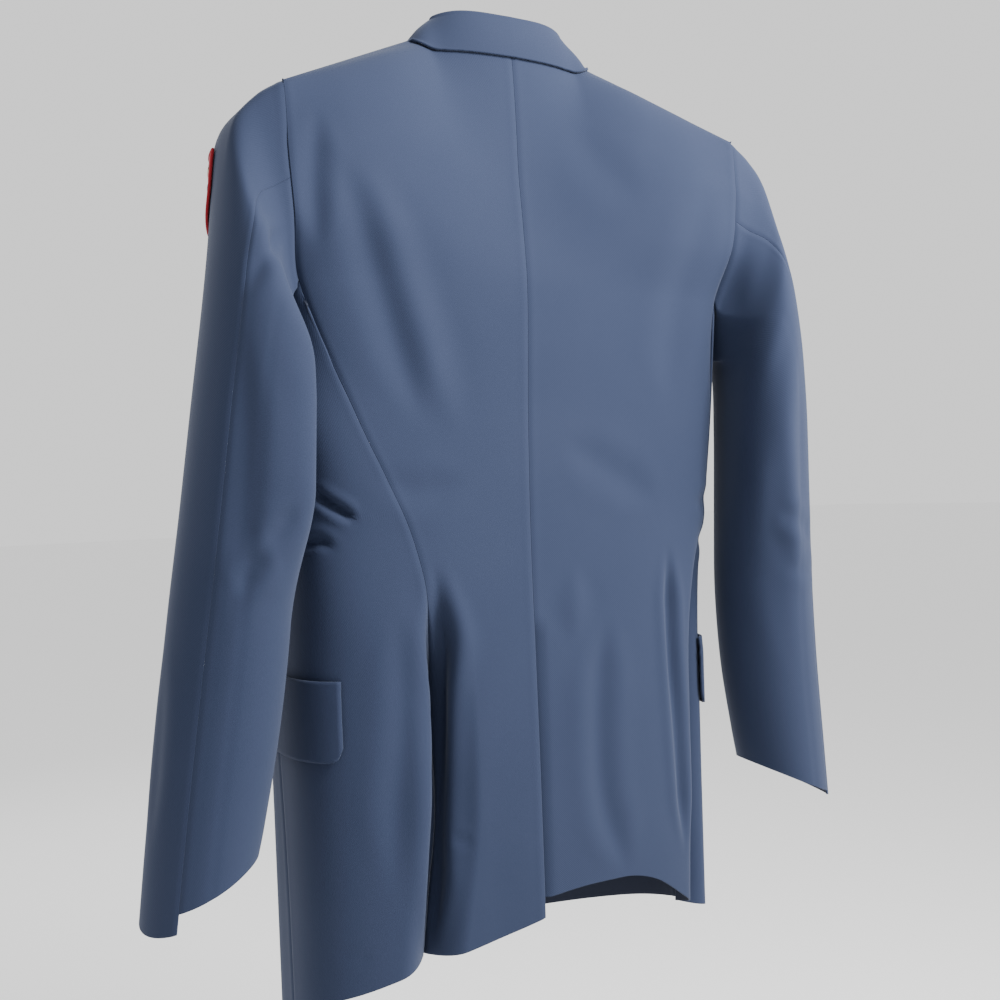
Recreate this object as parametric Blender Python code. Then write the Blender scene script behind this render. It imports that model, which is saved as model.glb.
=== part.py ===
"""Dress uniform jacket in blue cloth, hollow and in the form it has when worn.

Metres. +Z is up, the wearer faces -Y and the wearer's left is +X.
The origin is the nape: the middle of the back neck seam.
Every cloth piece is a wall made from a grid of outer points. Each grid is a loft through rows
that are worked out from the tables below, so neighbours share their seam.
"""

from math import cos, pi, radians, sin

import bmesh
import bpy
import numpy as np
from mathutils import Matrix, Vector
from mathutils.bvhtree import BVHTree

# Driving dimensions
WALL = 0.0025  # cloth, canvas and lining together
SEAM_GAP = 0.0003  # between two sewn edges
TWIST_GAP = 0.0019  # the same where a seam turns as it runs, on the shoulder, side and sleeve
ARMHOLE_GAP = 0.0034  # the same at the armhole
LAYER_GAP = 0.0008  # between a piece and the cloth that it lies on
PANEL_LIFT = 0.0019  # the same at a lapel, a flap and the collar, which lie on curved panels
NECK_POINT = np.array([0.071, -0.026, 0.006])  # where the shoulder seam meets the collar
SHOULDER_TIP = np.array([0.2165, 0.030, -0.070])  # where it meets the sleeve
NECK_SHARE = 0.34  # how much of the back panel's top row is neckline
FRONT_OVERLAP = 0.020  # how far each front edge passes the centre line
UNDER_DEPTH = 0.0080  # how far the right front lies under the left one
UNDER_REACH = (0.045, 0.090)  # from the front edge, where that depth begins to fade and ends
UNDER_TOP = (-0.150, -0.240)  # the heights where it begins and is full
BREAK_Z = -0.335  # height of the top button, where the lapels begin

# Body rings from the hem up. The angle of a seam is counted from the centre back.
# square is the exponent of the ring, where 2 is an ellipse. drift is how far the centre seam
# hangs to the left of the middle.
BODY_COLUMNS = "run back_z front_z half_width back_y front_y square drift "
BODY_COLUMNS += "left_back right_back left_front right_front"
BODY_LEVELS = {
    "hem": (0.000, -0.745, -0.805, 0.2060, 0.014, -0.174, 3.6, 0.006, 50, 67, 86, 92),
    "skirt": (0.075, -0.672, -0.720, 0.2060, 0.015, -0.176, 3.7, 0.006, 45, 68, 87, 93),
    "hip": (0.150, -0.600, -0.630, 0.2060, 0.016, -0.178, 3.8, 0.006, 44, 68, 89, 95),
    "seat": (0.230, -0.525, -0.540, 0.2060, 0.016, -0.180, 4.0, 0.006, 45, 68, 92, 97),
    "waist": (0.330, -0.425, -0.430, 0.2070, 0.015, -0.181, 5.6, 0.006, 50, 68, 95, 98),
    "ribs": (0.430, -0.325, -0.328, 0.2105, 0.018, -0.187, 8.0, 0.006, 58, 66, 98, 99),
    "scye": (0.540, -0.215, -0.235, 0.2135, 0.023, -0.188, 9.5, 0.005, 65, 65, 100, 100),
}
FRONT_SQUARE = 2.4  # the same exponent in front of the sides
# Height of the hem at angles from the centre back, for the wearer's left and right
HEM_COLUMNS = "angle left_z right_z"
HEM_LINE = {
    "centre_back": (0, -0.755, -0.747),
    "skirt": (38, -0.770, -0.738),
    "side_fold": (52, -0.778, -0.748),
    "side_back": (67, -0.793, -0.788),
    "side": (82, -0.808, -0.802),
    "side_front": (102, -0.830, -0.816),
    "front": (135, -0.824, -0.820),
    "front_edge": (190, -0.812, -0.812),
}
UNDERARM_DIP = 0.030  # how far the armhole sinks below the ends of the side panel's top

# Rows above the scye: height and depth on the centre line, then the armhole edge
YOKE_COLUMNS = "run centre_y centre_z edge_x edge_y edge_z"
# Steepness of the arch at the centre or front edge and at the armhole
BACK_ARCH = (0.30, 0.80)
FRONT_ARCH = (0.35, 0.80)
BACK_YOKE = {
    "blade": (0.590, 0.018, -0.165, 0.2120, 0.034, -0.169),
    "yoke": (0.640, 0.013, -0.115, 0.2160, 0.037, -0.123),
}
FRONT_YOKE = {
    "chest": (0.590, -0.178, -0.172, 0.192, -0.112, -0.190),
    "upper": (0.640, -0.154, -0.115, 0.194, -0.092, -0.140),
}
YOKE_DRIFT = 0.004  # how far the centre seam hangs to the left in these rows
YOKE_EDGE_TURN = 0.002  # how far the back turns in beside the armhole in these rows
TOP_RUN = 0.760  # run at the shoulder seam
ARCH_RUNS = (0.665, 0.695, 0.728)  # rows of the arch over the shoulder

# Folds of the back skirt along the side seams, on the wearer's left (1) and right (-1):
# the heights where a fold starts and is full, its depth and its width on each side
SKIRT_FOLDS = {1: (-0.450, -0.580, 0.030, 0.030), -1: (-0.410, -0.520, 0.024, 0.024)}
VENT_TOP = -0.500  # the centre vent, left over right
VENT_UNDERLAP = 0.035
VENT_STEP = 0.006  # how much higher the right skirt's hem is at the vent
VENT_FLARE = 0.003  # how far the left skirt's edge stands out at the hem
VENT_FULL = -0.750  # height where the step and the flare are full
VENT_REACH = (0.05, 0.08)  # how far from the centre the flare and the step fade out

# Sleeve rings from the shoulder to the cuff, each by its outer and inner point
SLEEVE_COLUMNS = "run outer_x outer_z inner_x inner_z centre_y half_depth"
SLEEVE_RINGS = {
    "head": (0.030, 0.2410, -0.0820, 0.2165, -0.2610, -0.021, 0.0650),
    "cap": (0.062, 0.2560, -0.1080, 0.2190, -0.2650, -0.004, 0.0590),
    "crown": (0.100, 0.2655, -0.1480, 0.2205, -0.2730, 0.007, 0.0550),
    "biceps": (0.150, 0.2745, -0.2040, 0.2205, -0.2960, 0.010, 0.0550),
    "upper_arm": (0.240, 0.2880, -0.2980, 0.2195, -0.3560, 0.006, 0.0550),
    "above_elbow": (0.340, 0.3010, -0.3980, 0.2190, -0.4350, -0.003, 0.0520),
    "elbow": (0.410, 0.3105, -0.4700, 0.2215, -0.4980, -0.011, 0.0500),
    "forearm": (0.500, 0.3215, -0.5600, 0.2300, -0.5700, -0.018, 0.0480),
    "wrist": (0.590, 0.3320, -0.6500, 0.2430, -0.6380, -0.022, 0.0460),
    "cuff": (0.650, 0.3380, -0.7060, 0.2500, -0.6670, -0.024, 0.0450),
}
SLEEVE_DROP = {1: -0.001, -1: -0.002}  # how much lower each cuff hangs than in the table
SLEEVE_SWING = {1: 0.012, -1: 0.006}  # how far back each sleeve hangs from the table's line
SWING_RUNS = (0.03, 0.20)  # runs between which it swings
# Fullness of each sleeve at its rear inner side, which hangs behind the body from the armhole:
# how far it goes towards the body and back, the runs where it grows and dies away, and the
# angle where it is largest and how far it spreads
FULLNESS = {1: (-0.0150, 0.0110), -1: (-0.0100, 0.0080)}
FULLNESS_RUNS = (0.04, 0.16, 0.28, 0.40)
FULLNESS_ANGLES = (135, 38)
CUFF_BACK_DROP = 0.006  # how much lower the cuff is at the back than at the front
HIND_SEAM = 6  # armhole point where the rear sleeve seam starts, counted down the back
FORE_SEAM = 21  # armhole point where the front sleeve seam starts
HIND_ANGLE = 55  # the rear seam's angle on the sleeve, from the outside towards the back
FORE_ANGLE = 235
HEAD_SPREAD = (0.75, 0.32)  # how far the sleeve head runs out and down from the armhole
HEAD_RUN = 0.11  # run over which the sleeve head loses the armhole's shape
EVEN_RUN = 0.2  # run over which its seams reach their own angles
CUFF_RUNS = (0.5, 0.65)  # runs between which the cuff takes its slant
DROP_RUNS = (0.3, 0.65)  # runs between which the sleeve takes its drop

# Collar sections from the centre back to the front end
COLLAR_COLUMNS = "share stand lean fall_out fall_drop"
COLLAR_SECTIONS = {
    "centre_back": (0.00, 0.026, 0.005, 0.004, 0.013),
    "back_neck": (0.25, 0.025, 0.006, 0.010, 0.013),
    "neck_point": (0.50, 0.014, 0.012, 0.022, 0.016),
    "side": (0.70, 0.011, 0.009, 0.032, 0.016),
    "front_end": (1.00, 0.007, 0.001, 0.046, 0.010),
}
COLLAR_END_RUN = 0.684  # run on the front edge where the collar ends and the gorge begins
COLLAR_FOLD = 0.0034  # radius of the fold, on the outside
FALL_LIFT = (0.0013, 0.0053)  # how much further than PANEL_LIFT the fall stands off the
# panels, and the same where it crosses the shoulder seam
FALL_ROLL = 0.002  # how far the fall bulges between its fold and its edge
SEAM_CROSSING = (0.50, 0.16)  # share of the collar at that crossing and how far it spreads

# Lapel: run along the front edge, and its width from the roll line
LAPEL_START = 0.012  # how far above the break its lower end is cut off
LAPEL_COLUMNS = "run width"
LAPEL_ROWS = {
    "break": (0.428, 0.000),
    "low": (0.470, 0.032),
    "middle": (0.540, 0.066),
    "high": (0.610, 0.090),
    "notch": (0.648, 0.094),
    "gorge": (0.664, 0.070),
}

# Pocket flap: heights of its corners and its angles round the body
FLAP_TOP_Z = (-0.536, -0.530)  # at its rear and its front end
FLAP_HEIGHT = 0.066
FLAP_ANGLES = {1: (66, 124), -1: (72, 124)}
FLAP_CORNER = 0.012

BUTTON_HEIGHTS = (-0.352, -0.462, -0.572)
BUTTON_RADIUS = 0.0100
BUTTON_RISE = 0.0045

PATCH_Z = -0.150  # middle of the patch on the left sleeve
PATCH_ANGLE = -8  # its direction from +X, where minus is towards the front
PATCH_HALF_WIDTH = 0.029
PATCH_HALF_HEIGHT = 0.031
PATCH_SHOULDER = 0.1  # where its sides begin to curve in, as a share of the half height
PATCH_TIP = 0.12  # width of its lower tip, as a share of the half width
PATCH_THICKNESS = 0.0012
PATCH_LIFT = 0.0012  # between its back and the sleeve's smooth form

# How each grid is cut: shares across a panel and runs along it
BACK_SHARES = (0, 0.035, 0.10, 0.18, 0.26, 0.34, 0.46, 0.58, 0.69, 0.78, 0.86, 0.92, 0.965, 1)
SIDE_SHARES = (0, 0.06, 0.13, 0.21, 0.29, 0.37, 0.45, 0.54, 0.65, 0.77, 0.89, 1)
FRONT_SHARES = (0, 0.10, 0.20, 0.31, 0.42, 0.53, 0.64, 0.75, 0.85, 0.93, 1)
UNDERARM_RUN = 0.54
SKIRT_RUNS = (0, 0.035, 0.075, 0.112, 0.15, 0.19, 0.23, 0.28, 0.33, 0.38, 0.43, 0.485, 0.54)
YOKE_RUNS = (0.565, 0.59, 0.615, 0.64, 0.665, 0.69, 0.715, 0.74, 0.76)
SLEEVE_RUNS = (0, 0.015, 0.03, 0.046, 0.062, 0.08, 0.10, 0.125, 0.15, 0.19, 0.24, 0.29, 0.34)
SLEEVE_RUNS += (0.375, 0.41, 0.455, 0.50, 0.545, 0.59, 0.62, 0.65)


def smooth(x, low, high):
    """A ramp from 0 at low to 1 at high with soft ends."""
    t = np.clip((np.asarray(x, float) - low) / (high - low), 0, 1)
    return t * t * (3 - 2 * t)


def through(knots, values, at):
    """Points at the runs in at, on a smooth curve that passes through values at the knots."""
    k = np.asarray(knots, float)
    p = np.asarray(values, float)
    tail = (1,) * (p.ndim - 1)
    slope = np.empty_like(p)
    slope[1:-1] = (p[2:] - p[:-2]) / (k[2:] - k[:-2]).reshape((-1,) + tail)
    slope[0] = (p[1] - p[0]) / (k[1] - k[0])
    slope[-1] = (p[-1] - p[-2]) / (k[-1] - k[-2])
    at = np.atleast_1d(np.asarray(at, float))
    i = np.clip(np.searchsorted(k, at, side="right") - 1, 0, len(k) - 2)
    h = (k[i + 1] - k[i]).reshape((-1,) + tail)
    t = (at - k[i]).reshape((-1,) + tail) / h
    start = (2 * t**3 - 3 * t**2 + 1) * p[i] + (t**3 - 2 * t**2 + t) * h * slope[i]
    end = (3 * t**2 - 2 * t**3) * p[i + 1] + (t**3 - t**2) * h * slope[i + 1]
    return start + end


def named(columns, row):
    """One row of a table as a dictionary of its column names."""
    return dict(zip(columns.split(), row))


def table_curve(columns, table, at):
    """Every column of a table but its first, read at the values in at of that first column."""
    rows = np.array(list(table.values()), float)
    found = through(rows[:, 0], rows[:, 1:], at)
    return dict(zip(columns.split()[1:], found.T))


def ring(level, angle):
    """Points of a body ring at angles in radians from the centre back, on the wearer's left."""
    b = named(BODY_COLUMNS, BODY_LEVELS[level])
    middle = (b["back_y"] + b["front_y"]) / 2
    depth = (b["back_y"] - b["front_y"]) / 2
    angle = np.asarray(angle, float)
    square = b["square"] + (FRONT_SQUARE - b["square"]) * smooth(angle, radians(70), radians(115))
    across = np.abs(np.sin(angle) / b["half_width"]) ** square
    along = np.abs(np.cos(angle) / depth) ** square
    radius = (across + along) ** (-1 / square)
    share = smooth(angle, radians(40), radians(115))
    z = b["back_z"] + (b["front_z"] - b["back_z"]) * share
    return np.stack([radius * np.sin(angle), middle + radius * np.cos(angle), z], -1)


def ring_row(level, start, end, share):
    """Points of a body ring between two angles, at shares of the length between them."""
    dense = ring(level, np.linspace(start, end, 241))
    length = np.concatenate([[0], np.cumsum(np.linalg.norm(np.diff(dense, axis=0), axis=1))])
    at = np.asarray(share, float) * length[-1]
    return np.stack([np.interp(at, length, dense[:, k]) for k in range(3)], -1)


def hem_height(points, side):
    """Height of the hem over the given points of its ring."""
    b = named(BODY_COLUMNS, BODY_LEVELS["hem"])
    middle = (b["back_y"] + b["front_y"]) / 2
    angle = np.degrees(np.abs(np.arctan2(points[:, 0], points[:, 1] - middle)))
    return table_curve(HEM_COLUMNS, HEM_LINE, angle)["left_z" if side > 0 else "right_z"]


def seam_angles(level, side):
    """Angles of the centre, back and front seams on the wearer's left (1) or right (-1)."""
    b = named(BODY_COLUMNS, BODY_LEVELS[level])
    word = "left" if side > 0 else "right"
    centre = side * 2 * b["drift"] / (b["back_y"] - b["front_y"])
    return centre, radians(b[word + "_back"]), radians(b[word + "_front"])


def arch(low, top, steepness):
    """Rows of the arch from the row low to the row top. It leaves low upright and, where
    steepness is near 1, comes level to the shoulder seam."""
    corner = np.stack([(low[:, 0] + top[:, 0]) / 2, low[:, 1], top[:, 2]], -1)
    control = (low + top) / 2 * (1 - steepness) + corner * steepness
    rows = []
    for run in ARCH_RUNS:
        w = (run - BACK_YOKE["yoke"][0]) / (TOP_RUN - BACK_YOKE["yoke"][0])
        rows.append((1 - w) ** 2 * low + 2 * w * (1 - w) * control + w**2 * top)
    return rows


def back_rows(share, side):
    """Rows of a back panel at shares from the centre back to the side seam or armhole."""
    s = np.asarray(share, float)
    runs = []
    rows = []
    for level, row in BODY_LEVELS.items():
        start, end, _ = seam_angles(level, side)
        runs.append(row[0])
        rows.append(ring_row(level, start, end, s))
    rows[0][:, 2] = hem_height(rows[0], side)
    for row in BACK_YOKE.values():
        y = named(YOKE_COLUMNS, row)
        runs.append(y["run"])
        x = y["edge_x"] * s + side * YOKE_DRIFT * (1 - s)
        depth = y["centre_y"] + (y["edge_y"] - y["centre_y"]) * smooth(s, 0, 0.8)
        depth = depth - YOKE_EDGE_TURN * smooth(s, 0.75, 1)
        rise = y["centre_z"] + (y["edge_z"] - y["centre_z"]) * s**2
        rows.append(np.stack([x, depth, rise], -1))
    turn = np.clip(s / NECK_SHARE, 0, 1) * pi / 2
    neck = np.stack([np.sin(turn), 1 - np.cos(turn), (turn / (pi / 2)) ** 2], -1) * NECK_POINT
    along = np.clip((s - NECK_SHARE) / (1 - NECK_SHARE), 0, 1)[:, None]
    top = neck + (SHOULDER_TIP - NECK_POINT) * along
    steepness = (BACK_ARCH[0] + (BACK_ARCH[1] - BACK_ARCH[0]) * smooth(s, 0.1, 0.6))[:, None]
    rows += arch(rows[-1], top, steepness)
    rows.append(top)
    return runs + list(ARCH_RUNS) + [TOP_RUN], rows


def roll_line_x(z):
    """How far from the centre the front edge or roll line is, at heights z, on its own side."""
    share = np.clip((np.asarray(z) - BREAK_Z) / (NECK_POINT[2] - BREAK_Z), 0, 1)
    return -FRONT_OVERLAP + (NECK_POINT[0] + FRONT_OVERLAP) * share


def front_rows(share, side):
    """Rows of a front panel at shares from the side seam or armhole to the front edge."""
    s = np.asarray(share, float)
    runs = []
    rows = []
    for level, row in BODY_LEVELS.items():
        b = named(BODY_COLUMNS, row)
        start = seam_angles(level, side)[2]
        edge_x = roll_line_x(b["front_z"])
        end = pi - np.arctan2(edge_x, (b["back_y"] - b["front_y"]) / 2)
        runs.append(b["run"])
        rows.append(ring_row(level, start, end, s))
    rows[0][:, 2] = hem_height(rows[0], side)
    for row in FRONT_YOKE.values():
        y = named(YOKE_COLUMNS, row)
        centre_x = roll_line_x(y["centre_z"])
        rise = y["edge_z"] + (y["centre_z"] - y["edge_z"]) * s
        depth = y["centre_y"] + (y["edge_y"] - y["centre_y"]) * (1 - s) ** 2
        runs.append(y["run"])
        rows.append(np.stack([y["edge_x"] + (centre_x - y["edge_x"]) * s, depth, rise], -1))
    top = SHOULDER_TIP + (NECK_POINT - SHOULDER_TIP) * s[:, None]
    steepness = FRONT_ARCH[1] + (FRONT_ARCH[0] - FRONT_ARCH[1]) * smooth(s, 0.35, 1.0)[:, None]
    rows += arch(rows[-1], top, steepness)
    rows.append(top)
    return runs + list(ARCH_RUNS) + [TOP_RUN], rows


def side_rows(share, side):
    """Rows of a side panel from the back side seam to the front one, up to the underarm."""
    s = np.asarray(share, float)
    runs = []
    rows = []
    for level, row in BODY_LEVELS.items():
        _, start, end = seam_angles(level, side)
        runs.append(row[0])
        rows.append(ring_row(level, start, end, s))
    rows[0][:, 2] = hem_height(rows[0], side)
    rows[-1][:, 2] -= UNDERARM_DIP * np.sin(s * pi) ** 1.2
    return runs, rows


def grid_normals(grid):
    """Unit normals of a grid, pointing out of the body when its rows run up."""
    up = np.gradient(grid, axis=0)
    across = np.gradient(grid, axis=1)
    n = np.cross(up, across)
    return n / np.linalg.norm(n, axis=-1, keepdims=True)


def edge_distance(grid, column):
    """Distance of each point of a grid from the given edge column, along its row."""
    step = np.linalg.norm(np.diff(grid, axis=1), axis=-1)
    run = np.concatenate([np.zeros((len(grid), 1)), np.cumsum(step, axis=1)], axis=1)
    return np.abs(run - run[:, [column]])


def skirt_fold(grid, side, from_edge):
    """Sinks a grid beside its back side seam into the deep fold that hangs there."""
    top, full, depth, width = SKIRT_FOLDS[side]
    amount = depth * smooth(-grid[:, :, 2], -top, -full)
    profile = (1 - np.clip(from_edge / width, 0, 1)) ** 2
    normals = grid_normals(grid)
    normals[:, :, 2] = 0
    return grid - normals * (amount * profile)[:, :, None]


def body_panels(side):
    """Grids of the back, side and front panels, made as if on the wearer's left."""
    back = through(*back_rows(BACK_SHARES, side), SKIRT_RUNS + YOKE_RUNS)
    sides = through(*side_rows(SIDE_SHARES, side), SKIRT_RUNS)
    front = through(*front_rows(FRONT_SHARES, side), SKIRT_RUNS + YOKE_RUNS)
    skirt = len(SKIRT_RUNS)
    sides[:, 0] = back[:skirt, -1]
    sides[:, -1] = front[:skirt, 0]
    back = skirt_fold(back, side, edge_distance(back, -1))
    sides = skirt_fold(sides, side, edge_distance(sides, 0))
    sides[:, 0] = (sides[:, 0] + back[:skirt, -1]) / 2
    back[:skirt, -1] = sides[:, 0]
    if side < 0:
        inward = 1 - smooth(edge_distance(front, -1), *UNDER_REACH)
        low = smooth(-front[:, :, 2], -UNDER_TOP[0], -UNDER_TOP[1])
        front[:, :, 1] += inward * low * UNDER_DEPTH
    panels = {"back": back, "side": sides, "front": front}
    panels["sleeve"] = sleeve_grid(armhole(panels), side)
    return panels


def mirrored(grid):
    """The same grid on the wearer's other side."""
    return grid * np.array([-1, 1, 1])


def open_vent(left, right, left_normals):
    """Laps the back skirts below VENT_TOP. The right one goes on under the left one."""
    below = [i for i in range(len(SKIRT_RUNS)) if left[i, 0, 2] < VENT_TOP]
    low = smooth(-left[:, :, 2], -VENT_TOP, -VENT_FULL)
    near_left = 1 - smooth(edge_distance(left, 0), 0, VENT_REACH[0])
    near_right = 1 - smooth(edge_distance(right, 0), 0, VENT_REACH[1])
    left[:, :, 1] += VENT_FLARE * low * near_left
    right[:, :, 2] += VENT_STEP * low * near_right
    sink = WALL + LAYER_GAP
    for i in below:
        row = left[i] - left_normals[i] * sink
        reach = edge_distance(left[i : i + 1], 0)[0]
        lap = VENT_UNDERLAP if i != below[-1] else 0.0
        under = [np.interp(lap, reach, row[:, k]) for k in range(3)]
        edge = row[0].copy()
        edge[2] = right[i, 0, 2]
        under[2] = right[i, 0, 2]
        right[i, 1] = edge if lap else right[i, 1] - np.array([0, sink, 0])
        right[i, 0] = under if lap else edge


def armhole(panels):
    """The closed edge that the sleeve is sewn to: down the back, under the arm, up the front."""
    skirt = len(SKIRT_RUNS)
    down = panels["back"][skirt:, -1][::-1]
    up = panels["front"][skirt:-1, 0]
    return np.concatenate([down, panels["side"][-1], up])


def sleeve_grid(loop, side):
    """Rings of a sleeve from the armhole loop to the cuff. Its columns run as the loop does."""
    centre = (loop.max(0) + loop.min(0)) / 2
    start = np.unwrap(np.arctan2(loop[:, 1] - centre[1], loop[:, 2] - centre[2]))
    at = (0, HIND_SEAM, FORE_SEAM, len(loop))
    even = np.interp(np.arange(len(loop)), at, np.radians((0, HIND_ANGLE, FORE_ANGLE, 360)))
    runs = [0.0]
    rings = [loop]
    for row in SLEEVE_RINGS.values():
        r = named(SLEEVE_COLUMNS, row)
        outer = np.array([r["outer_x"], r["centre_y"], r["outer_z"]])
        inner = np.array([r["inner_x"], r["centre_y"], r["inner_z"]])
        blend = smooth(r["run"], 0, EVEN_RUN)
        angle = start * (1 - blend) + even * blend
        circle = (outer + inner) / 2 + np.cos(angle)[:, None] * (outer - inner) / 2
        circle[:, 1] += np.sin(angle) * r["half_depth"]
        spread = np.zeros_like(loop)
        spread[:, 0] = HEAD_SPREAD[0] * r["run"] * (1 + np.cos(start)) / 2
        spread[:, 2] = -HEAD_SPREAD[1] * r["run"]
        formed = smooth(r["run"], 0, HEAD_RUN)
        circle = circle * formed + (loop + spread) * (1 - formed)
        circle[:, 2] -= np.sin(angle) * CUFF_BACK_DROP * smooth(r["run"], *CUFF_RUNS)
        circle[:, 2] -= SLEEVE_DROP[side] * smooth(r["run"], *DROP_RUNS)
        runs.append(r["run"])
        rings.append(circle)
    grid = through(runs, rings, SLEEVE_RUNS)
    run = np.array(SLEEVE_RUNS)
    grid[:, :, 1] += (SLEEVE_SWING[side] * smooth(run, *SWING_RUNS))[:, None]
    grow = smooth(run, *FULLNESS_RUNS[:2]) * (1 - smooth(run, *FULLNESS_RUNS[2:]))
    blend = smooth(run, 0, EVEN_RUN)[:, None]
    angle = np.degrees(start * (1 - blend) + even * blend)
    amount = grow[:, None] * np.exp(-(((angle - FULLNESS_ANGLES[0]) / FULLNESS_ANGLES[1]) ** 2))
    grid[:, :, :2] += amount[:, :, None] * np.array(FULLNESS[side])
    return np.concatenate([grid, grid[:, :1]], axis=1)


def sleeve_normals(grid):
    """Unit normals of a closed sleeve grid, pointing out."""
    around = np.gradient(np.concatenate([grid[:, -3:-1], grid, grid[:, 1:3]], axis=1), axis=1)
    n = np.cross(np.gradient(grid, axis=0), around[:, 2:-2])
    return n / np.linalg.norm(n, axis=-1, keepdims=True)


def shared_normals(grids):
    """Normals of the grids of one side, where points that coincide get their mean normal."""
    found = {name: grid_normals(grid) for name, grid in grids.items() if name != "sleeve"}
    found["sleeve"] = sleeve_normals(grids["sleeve"])
    total = {}
    for name, grid in grids.items():
        for point, normal in zip(grid.reshape(-1, 3), found[name].reshape(-1, 3)):
            key = tuple(np.round(point, 5) + 0.0)
            total[key] = total.get(key, 0) + normal
    for name, grid in grids.items():
        flat = [total[tuple(np.round(point, 5) + 0.0)] for point in grid.reshape(-1, 3)]
        mean = np.array(flat).reshape(grid.shape)
        found[name] = mean / np.linalg.norm(mean, axis=-1, keepdims=True)
    seam = SHOULDER_TIP - NECK_POINT
    ridge = np.cross(seam, (0, 1, 0)) * (-1 if np.cross(seam, (0, 1, 0))[2] < 0 else 1)
    ridge = ridge / np.linalg.norm(ridge)
    found["front"][-1] = ridge
    found["back"][-1, np.array(BACK_SHARES) >= NECK_SHARE] = ridge
    found["sleeve"][0, [0, -1]] = ridge
    return found


def cube_faces(count):
    """Quads that a grid of rows by columns is made of, as corner numbers."""
    rows, columns = count
    first = [r * columns + c for r in range(rows - 1) for c in range(columns - 1)]
    return [(k, k + 1, k + columns + 1, k + columns) for k in first]


def wall(name, grid, normals, finish="cloth", thickness=WALL, gaps=(SEAM_GAP,) * 4):
    """One cloth piece: the grid's outer points, closed by a copy moved in by the thickness.
    Its edges draw back by half of their gaps, so that it stays clear of the pieces sewn to
    it. The gaps are those of the first and last row and of the first and last column."""
    layers = [grid.copy(), grid - normals * thickness]
    for points in layers:
        edges = ((0, 0, 1), (0, -1, -2), (1, 0, 1), (1, -1, -2))
        for (axis, here, beside), gap in zip(edges, gaps):
            edge = np.take(points, here, axis)
            along = np.gradient(edge, axis=0)
            along = along / np.linalg.norm(along, axis=-1, keepdims=True)
            pull = np.take(points, beside, axis) - edge
            pull = pull - along * (pull * along).sum(-1)[:, None]
            pull = pull / np.linalg.norm(pull, axis=-1, keepdims=True)
            pull = pull * np.broadcast_to(gap, len(edge))[:, None] / 2
            if axis == 0:
                points[here] += pull
            else:
                points[:, here] += pull
    rows, columns = grid.shape[:2]
    shape = bmesh.new()
    bmesh.ops.create_grid(shape, x_segments=columns - 1, y_segments=rows - 1, size=1)
    shape.verts.ensure_lookup_table()
    outer = layers[0].reshape(-1, 3)
    for vertex, point in zip(shape.verts, outer):
        vertex.co = point
    copied = bmesh.ops.extrude_face_region(shape, geom=list(shape.faces), use_keep_orig=True)
    inner = layers[1].reshape(-1, 3)
    for vertex in [item for item in copied["geom"] if isinstance(item, bmesh.types.BMVert)]:
        nearest = np.argmin(((outer - np.array(vertex.co)) ** 2).sum(1))
        vertex.co = inner[nearest]
    bmesh.ops.recalc_face_normals(shape, faces=list(shape.faces))
    return add_piece(name, shape, finish)


FINISHES = {
    "cloth": ((0.105, 0.140, 0.225), 0.85, 0.0),
    "patch": ((0.55, 0.03, 0.04), 0.80, 0.0),
    "button": ((0.62, 0.62, 0.60), 0.35, 1.0),
}


def material(name):
    """A Principled material, made once for each name."""
    colour, roughness, metallic = FINISHES[name]
    made = bpy.data.materials.get(name) or bpy.data.materials.new(name)
    made.use_nodes = True
    shader = made.node_tree.nodes["Principled BSDF"]
    shader.inputs["Base Color"].default_value = (*colour, 1)
    shader.inputs["Roughness"].default_value = roughness
    shader.inputs["Metallic"].default_value = metallic
    return made


def add_piece(name, shape, finish):
    """Puts a bmesh in the scene as one named object."""
    mesh = bpy.data.meshes.new(name)
    shape.to_mesh(mesh)
    shape.free()
    mesh.materials.append(material(finish))
    piece = bpy.data.objects.new(name, mesh)
    bpy.data.collections["dress_uniform_jacket"].objects.link(piece)
    return piece


class Surface:
    """The outer faces of some grids, to lay other pieces on."""

    def __init__(self, grids, normals):
        self.points = np.concatenate([g.reshape(-1, 3) for g in grids])
        self.normals = np.concatenate([n.reshape(-1, 3) for n in normals])
        self.faces = []
        base = 0
        for g in grids:
            self.faces += [tuple(base + k for k in f) for f in cube_faces(g.shape[:2])]
            base += g.shape[0] * g.shape[1]
        self.tree = BVHTree.FromPolygons([Vector(p) for p in self.points], self.faces)

    def on(self, targets, lift):
        """The nearest surface points to the targets, moved out by lift, and their normals."""
        found = []
        directions = []
        for target in targets.reshape(-1, 3):
            place, normal = self.nearest(target)
            found.append(place + normal * lift)
            directions.append(normal)
        return np.array(found).reshape(targets.shape), np.array(directions).reshape(targets.shape)

    def nearest(self, target):
        """The nearest surface point to a target and the smooth normal there."""
        place, _, face, _ = self.tree.find_nearest(Vector(target))
        place = np.array(place)
        corners = list(self.faces[face])
        weight = 1 / (np.linalg.norm(self.points[corners] - place, axis=1) + 0.0005)
        normal = (self.normals[corners] * weight[:, None]).sum(0)
        return place, normal / np.linalg.norm(normal)

    def clear(self, row, lift):
        """The row's points, where any that are nearer than their lift move out to it."""
        moved = row.copy()
        for k, target in enumerate(row):
            place, normal = self.nearest(target)
            short = lift[k] - (target - place) @ normal
            if short > 0:
                moved[k] = target + normal * short
        return moved


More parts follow.
